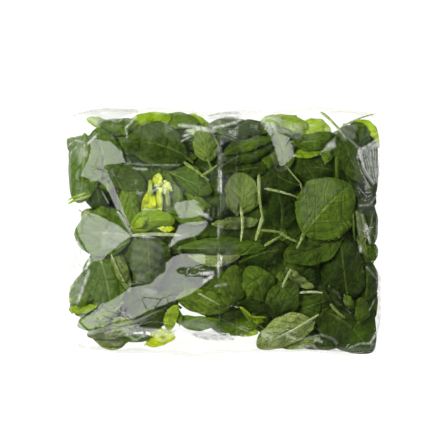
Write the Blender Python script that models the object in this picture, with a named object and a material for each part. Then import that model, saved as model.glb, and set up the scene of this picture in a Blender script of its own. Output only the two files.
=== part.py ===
"""A sealed clear pillow bag of loose spinach leaves, lying on its plain side, in metres with +Z up.

The bag is one closed solid out to its film. X runs across the bag, Y from one end seal to the other, and the
origin is on the floor under the middle of the bag. The film is drawn down over lumps of leaf and gathers into
pleats towards the two end seals, whose crimped strips are turned down under the ends. The folded fin of the
lengthwise seam runs along the upper side.
"""

import math

import bmesh
import bpy
import numpy as np

# Driving sizes
WIDTH = 0.262  # across the bag, fold to fold
LENGTH = 0.205  # end to end
HEIGHT = 0.050  # floor to the highest lump

# Rim and seals
RIM_HEIGHT = 0.015  # where the upper and lower films meet, above the floor
RIM_THICKNESS = 0.0016  # both films with the leaf tips pressed between them
SEAL_DROP = 0.0080  # how far the crimped strip at each end hangs below the rim
SEAL_TUCK = 0.0030  # how far its free edge is turned in under the bag
SEAL_WAVE = 0.0008  # waviness of the free edges
SEAL_WAVES = 9
FIN_WIDTH = 0.014  # the lengthwise seam's fin, folded flat
FIN_START = -0.003  # its fold line, just left of the middle
FIN_LIFT = 0.0011  # how far the fin stands above the film
FIN_SLOPE = 0.005  # how wide the step is on either side of it

# How full the bag is
FLAT_SHARE = 0.60  # share of the half width and half length that rests on the floor
BOWL_POWER = 1.8  # how late the under side rises from there to the rim
CROWN_POWERS = (2.8, 0.50)  # across: how late and how steeply the upper film falls to its fold
TAPER_POWERS = (2.6, 0.72)  # along: the same towards an end seal
PLEATS = 13  # gathers across the width near each seal
PLEAT_DEPTH = 0.0013
PLEAT_REACH = (0.62, 0.98)  # shares of the half length where they start and are full
PLEAT_DRIFT = (1.7, 9.0)  # uneven spacing: how far the pleats drift, and how fast across the width

# Leaf lumps under the film
LUMPS = 58
LUMP_HALF_LENGTH = (0.016, 0.031)
LUMP_HALF_WIDTH = (0.010, 0.019)
LUMP_HEIGHT = (0.0018, 0.0052)
LUMP_SPREAD = (0.46, 0.43)  # shares of the width and length, either side of the middle
LUMP_SEED = 11

# How far each corner is tucked in, as shares of the half width and half length: (left or right, near or far)
CORNER_TUCKS = {(-1, -1): (0.090, 0.085), (1, -1): (0.020, 0.030), (-1, 1): (0.045, 0.030), (1, 1): (0.025, 0.040)}
CORNER_POWER = 7
EDGE_WAVES = ((0.0012, 2.0, 0.4), (0.0006, 5.0, 1.9))  # height, waves along a side, phase

# Mesh fineness
CELLS_ACROSS = 48
CELLS_ALONG = 38
SEAL_CELLS = 3  # of those along, at each end
SEAL_LINE = 1.0 - 2.0 * SEAL_CELLS / CELLS_ALONG  # grid share where the body ends and a seal strip starts

FILM_COLOUR = (0.16, 0.25, 0.07, 1.0)
FILM_ROUGHNESS = 0.15


def clear_scene():
    for thing in list(bpy.data.objects):
        bpy.data.objects.remove(thing, do_unlink=True)


def smooth_step(low, high, value):
    """0 below low, 1 above high, and a smooth S between them."""
    share = np.clip((value - low) / (high - low), 0.0, 1.0)
    return share * share * (3.0 - 2.0 * share)


def spread_across(u):
    """Grid share -1..1 to share of the half width, with finer cells towards the folds."""
    return u * (1.25 - 0.25 * u * u)


def seal_share(v):
    """0 on the bag's body, growing over the last cells at each end to 1 at the free edge of the seal strip."""
    return np.clip((np.abs(v) - SEAL_LINE) / (1.0 - SEAL_LINE), 0.0, 1.0)


def outline(u, v):
    """Plan position of a grid point: a rectangle with wavy sides and tucked-in corners."""
    x = WIDTH / 2 * spread_across(u)
    y = LENGTH / 2 * v
    near_side = np.abs(u) ** CORNER_POWER
    near_end = np.abs(v) ** CORNER_POWER
    for (side, end), (tuck_across, tuck_along) in CORNER_TUCKS.items():
        here = near_side * near_end * (np.sign(u) == side) * (np.sign(v) == end)
        x = x - here * side * tuck_across * WIDTH / 2
        y = y - here * end * tuck_along * LENGTH / 2
    for depth, waves, phase in EDGE_WAVES:
        x = x - near_side * np.sign(u) * depth * (1 + np.sin(math.pi * waves * v + phase + u))
        y = y - near_end * np.sign(v) * depth * (1 + np.sin(math.pi * waves * u + phase + v))
    return x, y


def fullness(x, y):
    """1 over the middle of the bag, falling to 0 at the folds and at the seal lines."""
    across, across_end = CROWN_POWERS
    along, along_end = TAPER_POWERS
    u = np.clip(np.abs(x) / (WIDTH / 2), 0.0, 1.0)
    v = np.clip(np.abs(y) / (LENGTH / 2), 0.0, 1.0)
    return (1 - u**across) ** across_end * (1 - v**along) ** along_end


def leaf_lumps(x, y):
    """The highest of many low leaf-shaped domes: height * (1 - (a / half length)^2 - (b / half width)^2)."""
    draw = np.random.default_rng(LUMP_SEED)
    tallest = np.zeros_like(x)
    for _ in range(LUMPS):
        at_x = draw.uniform(-1.0, 1.0) * LUMP_SPREAD[0] * WIDTH
        at_y = draw.uniform(-1.0, 1.0) * LUMP_SPREAD[1] * LENGTH
        turn = draw.uniform(0.0, math.pi)
        half_length = draw.uniform(*LUMP_HALF_LENGTH)
        half_width = draw.uniform(*LUMP_HALF_WIDTH)
        height = draw.uniform(*LUMP_HEIGHT)
        a = ((x - at_x) * math.cos(turn) + (y - at_y) * math.sin(turn)) / half_length
        b = ((y - at_y) * math.cos(turn) - (x - at_x) * math.sin(turn)) / half_width
        tallest = np.maximum(tallest, height * (1 - a * a - b * b))
    return tallest


def pleats(x, y):
    """Gathers that run along the bag and fade out away from each seal."""
    nearness = smooth_step(*PLEAT_REACH, np.abs(y) / (LENGTH / 2))
    drift, rate = PLEAT_DRIFT
    across = x / WIDTH
    return PLEAT_DEPTH * nearness * np.sin(2 * math.pi * PLEATS * across + drift * np.sin(rate * across))


def fin(x):
    """The flat fin of the lengthwise seam: a low step that starts at its fold line and ends at its free edge."""
    rise = smooth_step(FIN_START - FIN_SLOPE, FIN_START, x)
    fall = smooth_step(FIN_START + FIN_WIDTH, FIN_START + FIN_WIDTH + FIN_SLOPE, x)
    return FIN_LIFT * (rise - fall)


def upper_film(x, y):
    full = fullness(x, y)
    rim = RIM_HEIGHT + RIM_THICKNESS / 2
    relief = leaf_lumps(x, y) + fin(x) - LUMP_HEIGHT[1]
    return rim + (HEIGHT - rim) * full + relief * full + pleats(x, y) * full**0.5


def lower_film(x, y):
    """Flat on the floor over the middle, then rising to the rim like a shallow bowl."""
    u = np.abs(x) / (WIDTH / 2)
    v = np.abs(y) / (LENGTH / 2)
    reach = np.clip((u**4 + v**4) ** 0.25, 0.0, 1.0)
    share = np.clip((reach - FLAT_SHARE) / (1 - FLAT_SHARE), 0.0, 1.0)
    return (RIM_HEIGHT - RIM_THICKNESS / 2) * share**BOWL_POWER


def bag_points(u, v, is_upper):
    """Each grid point's place: on a film up to the seal line, then down the turned-in seal strip."""
    out = seal_share(v)
    x, y = outline(u, np.clip(v / SEAL_LINE, -1.0, 1.0))
    z = np.where(is_upper, upper_film(x, y), lower_film(x, y))
    half = np.where(is_upper, 0.5, -0.5) * RIM_THICKNESS
    wave = SEAL_WAVE * np.sin(SEAL_WAVES * math.pi * u + np.sign(v))
    strip_z = RIM_HEIGHT + half * (1 - out) - out * SEAL_DROP
    strip_y = y + np.sign(v) * (half + wave - SEAL_TUCK) * out
    return np.stack([x, np.where(out > 0, strip_y, y), np.where(out > 0, strip_z, z)], axis=1)


def fit_to_size(points):
    """Stretches the finished form so that its outer size is exact and it rests on the floor, centred."""
    low = points.min(axis=0)
    high = points.max(axis=0)
    points = (points - low) / (high - low) * (WIDTH, LENGTH, HEIGHT)
    return points - (WIDTH / 2, LENGTH / 2, 0.0)


def bag_mesh():
    """A grid is extruded into a slab, whose upper and lower points then take the heights of the two films."""
    form = bmesh.new()
    bmesh.ops.create_grid(form, x_segments=CELLS_ACROSS, y_segments=CELLS_ALONG, size=1.0)
    raised = bmesh.ops.extrude_face_region(form, geom=form.faces[:], use_keep_orig=True)
    upper = {item for item in raised["geom"] if isinstance(item, bmesh.types.BMVert)}
    is_upper = np.array([vertex in upper for vertex in form.verts])
    share = np.array([vertex.co[:2] for vertex in form.verts])
    points = bag_points(share[:, 0], share[:, 1], is_upper)
    for vertex, place in zip(form.verts, fit_to_size(points)):
        vertex.co = place
    bmesh.ops.recalc_face_normals(form, faces=form.faces[:])
    mesh = bpy.data.meshes.new("bag")
    form.to_mesh(mesh)
    form.free()
    mesh.shade_smooth()
    return mesh


def film_material():
    material = bpy.data.materials.new("film")
    material.use_nodes = True
    shader = material.node_tree.nodes["Principled BSDF"]
    shader.inputs["Base Color"].default_value = FILM_COLOUR
    shader.inputs["Roughness"].default_value = FILM_ROUGHNESS
    shader.inputs["Metallic"].default_value = 0.0
    return material


def main():
    clear_scene()
    group = bpy.data.collections.new("bag of spinach")
    bpy.context.scene.collection.children.link(group)
    bag = bpy.data.objects.new("bag", bag_mesh())
    bag.data.materials.append(film_material())
    group.objects.link(bag)


if __name__ == "__main__":
    main()
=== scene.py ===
"""Looks of the clear bag of young spinach: creased film, end seals, lengthwise fin, and the leaves inside.

Lengths in the tables and functions are millimetres. X runs across the bag, Y towards its far seal, Z up,
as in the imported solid. The film is drawn tight over the leaves into flat facets with creases between them.
The leaves are laid one by one under the film, the first against it and each next one under those before
it.
"""

import math

import bpy
import numpy as np
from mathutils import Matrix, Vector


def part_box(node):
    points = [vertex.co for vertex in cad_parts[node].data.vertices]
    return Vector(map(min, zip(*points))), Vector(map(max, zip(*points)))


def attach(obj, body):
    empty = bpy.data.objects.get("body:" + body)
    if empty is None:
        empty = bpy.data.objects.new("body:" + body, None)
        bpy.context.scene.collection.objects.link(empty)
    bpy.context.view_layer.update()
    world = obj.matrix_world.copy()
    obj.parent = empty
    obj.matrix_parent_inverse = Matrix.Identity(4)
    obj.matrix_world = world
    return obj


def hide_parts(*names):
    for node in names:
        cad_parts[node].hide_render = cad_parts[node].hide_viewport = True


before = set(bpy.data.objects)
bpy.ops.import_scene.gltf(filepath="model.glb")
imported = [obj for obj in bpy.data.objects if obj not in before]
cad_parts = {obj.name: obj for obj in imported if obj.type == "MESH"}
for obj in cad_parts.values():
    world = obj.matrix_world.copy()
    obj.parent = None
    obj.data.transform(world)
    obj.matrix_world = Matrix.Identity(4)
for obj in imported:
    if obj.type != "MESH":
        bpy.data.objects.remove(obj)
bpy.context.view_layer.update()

bl_info = {
    "name": "Bag of young spinach",
    "version": (1, 0, 0),
    "blender": (4, 5, 0),
    "location": "View3D > Sidebar > Spinach",
    "description": "Makes a clear pillow bag of loose spinach leaves, piece by piece",
    "category": "Add Mesh",
}

MM = 0.001
LOW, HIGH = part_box("bag")
WIDTH, LENGTH, HEIGHT = ((high - low) / MM for low, high in zip(LOW, HIGH))

# ---------------------------------------------------------------- the form of the bag, as its solid has it

RIM_HEIGHT = 0.30 * HEIGHT  # where the upper and lower films meet
FLAT_SHARE = 0.60  # share of the half width and half length that rests on the floor
BOWL_POWER = 1.8  # how late the under side rises from there to the rim
CROWN_POWERS = (2.8, 0.50)  # across: how late and how steeply the upper film falls to its fold
TAPER_POWERS = (2.6, 0.72)  # along: the same towards an end seal
PLEATS = 13  # gathers across the width near each seal
PLEAT_DEPTH = 1.3
PLEAT_REACH = (0.62, 0.98)  # shares of the half length where they start and are full
PLEAT_DRIFT = (1.7, 9.0)  # uneven spacing: how far the pleats drift, and how fast across the width
# How far each corner is tucked in, as shares of the half width and half length: (left or right, near or
# far)
CORNER_TUCKS = {
    (-1, -1): (0.090, 0.085), (1, -1): (0.020, 0.030),
    (-1, 1): (0.045, 0.030), (1, 1): (0.025, 0.040),
}
CORNER_POWER = 7
EDGE_WAVES = ((1.2, 2.0, 0.4), (0.6, 5.0, 1.9))  # depth, waves along a side, phase
CROWDING = 0.25  # draws the columns of the film's grid together towards the folds
SEAL_DROP = 8.0  # how far the crimped strips hang below the rim
SEAL_TUCK = 3.0  # how far their free edge is turned in under the bag
FIN_START = -3.0  # the fold line of the lengthwise seam's fin, just left of the middle
FIN_WIDTH = 14.0

# ---------------------------------------------------------------- how light meets the film

CAMERA_PLACE = (0.0, 6.6, 2225.0)
FRAME_WIDTH = 367.0  # width of the picture at the bag's middle height
# Lamps: place, size across and along, share of the power, and whether the film mirrors them
LAMPS = {
    "softbox": ((-444, 283, 1297), 320, 320, 0.0162, True),
    "strip_left": ((-1280, 340, 700), 360, 260, 0.012, True),
    "strip_right": ((1330, 430, 650), 360, 260, 0.014, True),
    "strip_far": ((250, 1440, 650), 380, 240, 0.006, True),
    "strip_near": ((-150, -1440, 650), 420, 260, 0.015, True),
    "wall": ((-560, 357, 1640), 1200, 1200, 0.018, True),
    "side_left": ((-1250, 330, 760), 1000, 700, 0.026, True),
    "side_right": ((1300, 400, 700), 1000, 700, 0.012, True),
    "side_far": ((0, 1400, 720), 1600, 600, 0.018, True),
    "key": ((-870, 500, 1120), 700, 700, 0.83, False),
    "fill": ((800, -500, 1200), 700, 700, 0.16, False),
}
MIRRORED_LAMPS = ("softbox", "strip_left", "strip_right", "strip_far", "strip_near")
LAMP_REACH = 0.09  # how far from the mirroring slope a lamp can still be seen

# Flat facets of the tight film that mirror the lamp: corners on the plan
FACETS = {
    "upper left": ("softbox", (
        (-106, 76), (-91, 74), (-78, 56), (-96, 53), (-87, 34), (-73, -2), (-86, 16), (-98, 39), (-105, 42),
        (-118, 45), (-111, 60),
    )),
    "left": ("softbox", (
        (-118, 18), (-104, 15), (-89, 8), (-73, -3), (-85, -11), (-93, -18), (-105, -25), (-114, -13),
        (-119, -3), (-122, 8),
    )),
    "lower band": ("softbox", (
        (-118, -73), (-105, -64), (-93, -56), (-83, -50), (-77, -45), (-60, -42), (-52, -33), (-32, -36),
        (-17, -37), (-15, -44), (-27, -52), (-44, -59), (-60, -65), (-71, -71), (-86, -74), (-111, -81),
    )),
    "band end": ("softbox", (
        (-48, -25), (-42, -20), (-34, -17), (-14, -17), (-14, -26), (-26, -27), (-36, -30), (-44, -36),
        (-48, -33),
    )),
    "middle": ("softbox", (
        (-39, 24), (-26, 26), (-20, 21), (-17, 16), (-21, 11.5), (-32, 10.5), (-37, 13), (-41, 19),
    )),
    "middle low": ("softbox", (
        (-37, 5), (-27, 9), (-12, 9), (-13, 3), (-19, -3), (-36, -7), (-43, -15), (-45, -12), (-41, -4),
    )),
    "upper right": ("softbox", (
        (35, 92), (43, 90), (46, 81), (54, 79), (57, 70), (58, 63), (54, 57), (49, 53), (45, 53), (41, 66),
        (38, 76), (33, 86),
    )),
    "right": ("strip_right", (
        (112, 66), (120, 71), (130, 78), (130, 44), (124, 40), (118, 48), (114.5, 56),
    )),
}

# Narrow strips that mirror a lamp along the creases: lamp, corners of the middle line, and width
GLINTS = (
    ("softbox", ((-3, 70), (-3, 56)), 2.0), ("softbox", ((-3, 50), (-4, 33)), 2.4),
    ("softbox", ((-4, 5), (-4, -3)), 1.4), ("softbox", ((-3, -18), (-4, -34)), 1.4),
    ("strip_far", ((-33, 78), (-24, 81)), 1.6), ("strip_far", ((-34, 74), (-28, 77)), 1.3),
    ("strip_far", ((-10, 95), (8, 96)), 1.6), ("strip_far", ((-6, 86), (6, 88.5), (14, 92)), 1.0),
    ("strip_far", ((-79, 84), (-72, 93)), 1.6), ("softbox", ((-80, 85), (-79, 78)), 1.4),
    ("softbox", ((-111, 72), (-104, 79)), 2.0), ("strip_near", ((-82, -80), (-60, -82), (-41, -84)), 5.0),
    ("softbox", ((-17, -35), (-9, -34)), 2.2), ("softbox", ((-15, -40), (-10, -37)), 2.4),
    ("strip_left", ((-120, -8), (-108, -24)), 1.6), ("strip_left", ((-108, -24), (-116, -34)), 1.4),
    ("strip_left", ((-112, -34), (-118, -57)), 1.2), ("strip_left", ((-122, -30), (-127, -50)), 1.6),
    ("strip_right", ((111, 64), (114, 56), (117, 49)), 1.0), ("strip_right", ((111, 66), (129, 78)), 1.8),
    ("strip_right", ((117, 6), (119, -8)), 1.6), ("strip_right", ((126, -82), (121, -91)), 2.0),
    ("strip_right", ((112, -13), (112, -16)), 2.0), ("strip_near", ((3, -85), (6, -84)), 1.8),
    ("strip_near", ((21, -83), (25, -82)), 1.8), ("strip_near", ((-25, -86), (-12, -84), (-5, -81)), 2.6),
    ("strip_far", ((-120, 97), (-100, 98), (-76, 97)), 2.0), ("softbox", ((-22, 16), (-12, 13)), 1.6),
    ("strip_left", ((-126, 76), (-128, 62)), 1.6),
)

# Creases and grooves: corners of the line on the plan, its height and its half width
CREASES = (
    (((-96, 52.5), (-76, 53), (-62, 52)), 0.60, 1.8),
    (((-73, -5), (-58, -6), (-48, -6)), 0.40, 1.8),
    (((-86, 16), (-73, -3)), 0.40, 2.0),
    (((115, 66), (119, 48)), -0.50, 1.3),
    (((118, 69), (122, 46)), -0.55, 1.2),
    (((121, 66), (124, 38)), -0.50, 1.3),
    (((125, 73), (125, 50)), -0.45, 1.2),
    (((-26, -85), (-8, -85), (4, -82)), 0.60, 2.2),
    (((-90, -60), (-75, -72)), 0.35, 1.6),
)

# Crinkled stretches: middle, half sizes, direction of the streaks in degrees, their spacing and height
CRINKLES = (
    ((121, 62), (10, 24), 84, 5.0, 0.65),
    ((122, 8), (7, 20), 95, 4.2, 0.15),
    ((-118, -25), (12, 26), 62, 6.0, 0.60),
    ((2, 91), (22, 7), 8, 3.6, 0.12),
    ((-106, 74), (22, 8), 150, 4.0, 0.45),
    ((-4, 15), (10, 6), 88, 2.6, 0.45),
    ((-10, -40), (12, 8), 60, 3.4, 0.55),
    ((0, -88), (40, 8), 4, 4.4, 0.50),
    ((100, -90), (30, 7), 10, 4.0, 0.25),
)

# Marks painted on the film along its creases and doubled seams: a pale one is a painted highlight, with a
# little of the crease's real whitening, and a grey one is painted shade. Corners of the line, its half width
# and its strength, which is negative for a grey mark and positive for a pale one
HIGHLIGHT_AND_SHADE_MARKS = (
    (((-80, 55.5), (-64, 54.5), (-48, 54), (-36, 54)), 0.8, 0.20),
    (((-74, -3), (-60, -2.5), (-38, -3)), 0.9, 0.25), (((-86, 16), (-74, -3)), 1.2, 0.30),
    (((-3, 72), (-3, 56)), 1.6, 0.16), (((-3, 51), (-3.5, 33)), 1.9, 0.18),
    (((-4, 6), (-4, -5)), 0.9, 0.30), (((-4, -18), (-4, -36)), 1.2, 0.35),
    (((111, 66), (115, 52), (123, 40)), 1.0, 0.75), (((111, 66), (121, 72), (131, 79)), 1.0, 0.60),
    (((-120, -8), (-109, -23), (-112, -30)), 1.0, 0.85),
    (((-122, -14), (-121, -24), (-124, -36)), 0.9, -0.45),
    (((-117, -14), (-117, -24), (-121, -38)), 0.8, -0.40), (((-126, -20), (-127, -42)), 0.8, -0.35),
    (((128, -50), (129, -75), (127, -92)), 1.0, -0.45), (((78, -97), (100, -98), (124, -97)), 1.0, -0.50),
    (((-107, -24), (-116, -33), (-127, -50)), 0.9, 0.35), (((-110, -32), (-119, -57)), 1.6, 0.35),
    (((-122, -18), (-124, -34)), 0.8, 0.25), (((-36, 87), (-25, 86), (-12, 84)), 1.2, 0.55),
    (((-30, 82), (-20, 84), (-8, 82)), 1.6, 0.50), (((-33, 78), (-24, 81)), 0.9, 0.50),
    (((-34, 74), (-28, 77)), 0.7, 0.45), (((-12, 95), (0, 97.5), (12, 97)), 1.0, -0.80),
    (((0, 93), (8, 93.5), (14, 94)), 0.9, -0.75), (((-8, 85), (6, 88), (16, 93)), 1.3, 0.55),
    (((13, 98), (18, 92)), 1.3, 0.45), (((-80, 85), (-72, 94)), 0.9, 0.45),
    (((-80, 85), (-79, 77)), 0.8, 0.40), (((-111, 72), (-104, 79)), 1.0, 0.50),
    (((-127, 77), (-116, 79)), 0.9, 0.35), (((-128, 70), (-122, 75), (-114, 73)), 0.8, 0.30),
    (((-126, 64), (-120, 70)), 0.8, 0.25), (((-121, 98), (-112, 93), (-102, 86)), 1.0, 0.30),
    (((-95, 97), (-91, 91), (-86, 90), (-82, 94)), 0.9, 0.30),
    (((60, -89), (80, -84.5), (90, -88), (93, -92)), 0.8, 0.32),
    (((103, -96), (112, -92), (125, -92)), 0.9, 0.40), (((127, -82), (121, -91)), 1.1, 0.60),
    (((117, -29), (127, -40)), 0.8, 0.40), (((124, -56), (120, -64)), 0.8, 0.35),
    (((111, 21), (120, 22), (126, 30)), 0.8, 0.40), (((116, 6), (120, -9)), 1.0, 0.50),
    (((113, 14), (116, 4)), 0.8, 0.35), (((122, 14), (120, 0)), 0.6, 0.25),
    (((-100, -77), (-86, -76), (-74, -78)), 0.8, 0.30), (((-104, -81), (-86, -79), (-70, -82)), 0.9, 0.35),
    (((-96, -84), (-80, -84), (-66, -85)), 0.8, 0.30), (((-25, -84), (-19, -86.5), (-13, -88)), 1.2, -0.95),
    (((-14, -84), (-6, -85), (-2, -87)), 1.0, -0.85), (((-8, -88), (8, -88)), 0.9, -0.7),
    (((62, -95), (74, -94), (77, -97)), 1.5, 0.40), (((-17, -34), (-9, -33)), 1.3, 0.55),
    (((-16, -41), (-10, -37)), 1.3, 0.55), (((-6, -44), (2, -43)), 1.2, 0.35),
    (((-90, -61), (-72, -72)), 1.0, 0.20), (((-22, 16), (-13, 12)), 1.2, 0.40),
    (((112, -12), (112, -16)), 1.2, 0.55), (((40, 93), (52, 90), (60, 83)), 1.0, 0.25),
    (((84, 84), (92, 81)), 1.4, 0.35), (((98, 80), (106, 73), (113, 66)), 0.9, 0.22),
    (((-12, 18), (-12, 12)), 0.6, 0.16), (((-8, 19), (-8, 12)), 0.5, 0.10),
    (((-4, 19), (-4, 13)), 0.5, 0.10), (((0, 20), (1, 15)), 0.5, 0.12), (((-15, 14), (-10, 10)), 1.2, 0.30),
    (((89, -48), (93, -50), (95, -54)), 0.6, 0.16), (((98, -56), (102, -59)), 0.6, 0.16),
    (((92, -57), (96, -60)), 0.5, 0.14), (((100, -63), (104, -67)), 0.5, 0.14),
    (((-57, 33), (-53, 36)), 0.8, 0.45), (((-50, 33), (-45, 33)), 0.7, 0.50),
    (((-66, 18.5), (-55, 18.5)), 0.6, 0.50), (((-56, 38), (-52, 37), (-52, 34)), 0.9, 0.40),
    (((-49, 39), (-47, 36)), 0.7, 0.45), (((-60, 33), (-59, 39)), 0.6, 0.35),
)

# Stretches of the film painted paler as glare where the strength is positive and greyer as shade where it is
# negative, some of them over doubled film: corners on the plan and the same strength
GLARE_AND_SHADE_HAZES = (
    (((-121, 97), (-104, 87), (-97, 91), (-88, 91), (-80, 95), (-68, 98), (-100, 101)), 0.32),
    (((-119, -5), (-108, -24), (-119, -57), (-129, -52), (-125, -20)), 0.13),
    (((-88, -79), (-60, -79), (-38, -80), (-42, -85), (-70, -86)), 0.34),
    (((-26, -82), (-14, -80), (-2, -80), (8, -87.5), (-4, -89.5), (-14, -88.5), (-20, -86)), -0.50),
    (((-76, -79.5), (-60, -79), (-38, -80), (-40, -84), (-60, -85), (-76, -85)), -0.50),
    (((-121, 98), (-104, 93), (-97, 93), (-90, 90), (-80, 95), (-68, 98), (-74, 102), (-110, 102)), -0.60),
    (((-128, -10), (-119, -6), (-110, -22), (-118, -40), (-127, -46)), -0.25),
    (((-14, 92), (-8, 96), (2, 99), (12, 99), (20, 93), (14, 91)), -0.50),
    (((126, -30), (130, -36), (130, -92), (124, -98), (60, -98), (60, -96), (120, -95), (126, -88)), -0.40),
    (((-38, -79), (-24, -80), (-20, -85), (-32, -82)), -0.20),
    (((-36, -73), (-20, -70), (-8, -74), (0, -80), (-24, -80), (-36, -77)), 0.16),
    (((-108, -26), (-92, -26), (-88, -50), (-100, -58), (-118, -56)), 0.035),
    (((64, 36), (72, 44), (86, 44), (96, 36), (88, 28), (76, 14), (66, 2), (61, 14)), 0.04),
    (((-117, -73), (-105, -65), (-95, -58), (-90, -62), (-100, -74), (-110, -79)), 0.07),
    (((111, 66), (121, 72), (130, 78), (129, 40), (124, 40), (116, 52)), 0.24),
    (((112, 66), (121, 71), (131, 77), (131, 70), (120, 66)), 0.55),
    (((28, 93), (42, 93), (60, 84), (48, 80), (38, 80)), 0.20),
    (((48, 84), (56, 90), (66, 88), (64, 76), (56, 76)), 0.14),
    (((80, 65), (85, 72), (91, 77), (92, 69), (86, 66)), 0.42),
    (((92, 82), (98, 88), (110, 88), (108, 76), (98, 74)), 0.12),
    (((-74, -8), (-62, -4), (-50, -10), (-46, -26), (-54, -40), (-66, -42), (-76, -30)), 0.07),
    (((-54, 40), (-44, 42), (-32, 34), (-36, 20), (-44, 14), (-50, 18)), 0.08),
    (((30, -90), (36, -81), (48, -79), (52, -84), (44, -94)), 0.08),
    (((-112, -82), (-98, -80), (-80, -84), (-84, -96), (-104, -94)), 0.07),
    (((-37, 6), (-27, 9), (-12, 9), (-13, 3), (-26, -1)), 0.02),
    (((-12, 85), (-11, 96), (0, 97), (14, 98), (18, 92), (6, 87)), 0.16),
    (((-128, 78), (-108, 78), (-112, 66), (-124, 58), (-129, 60)), 0.06),
    (((-45, -14), (-38, -9), (-28, -3), (-36, 3), (-40, -4)), 0.16),
    (((-118, 12), (-108, 14), (-98, 4), (-104, -10), (-116, -8)), -0.16),
    (((-72, -33), (-64, -33), (-63, -41), (-71, -41)), 0.12),
    (((-66, -46), (-58, -46), (-54, -50), (-58, -53), (-66, -51)), 0.12),
    (((-22, -8), (4, -8), (12, -12), (8, -19), (-16, -18)), 0.05),
    (((-100, -14), (-86, -15), (-75, -3), (-88, 6), (-100, 0)), 0.13),
)

# ---------------------------------------------------------------- leaves against the film, uppermost first

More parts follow.
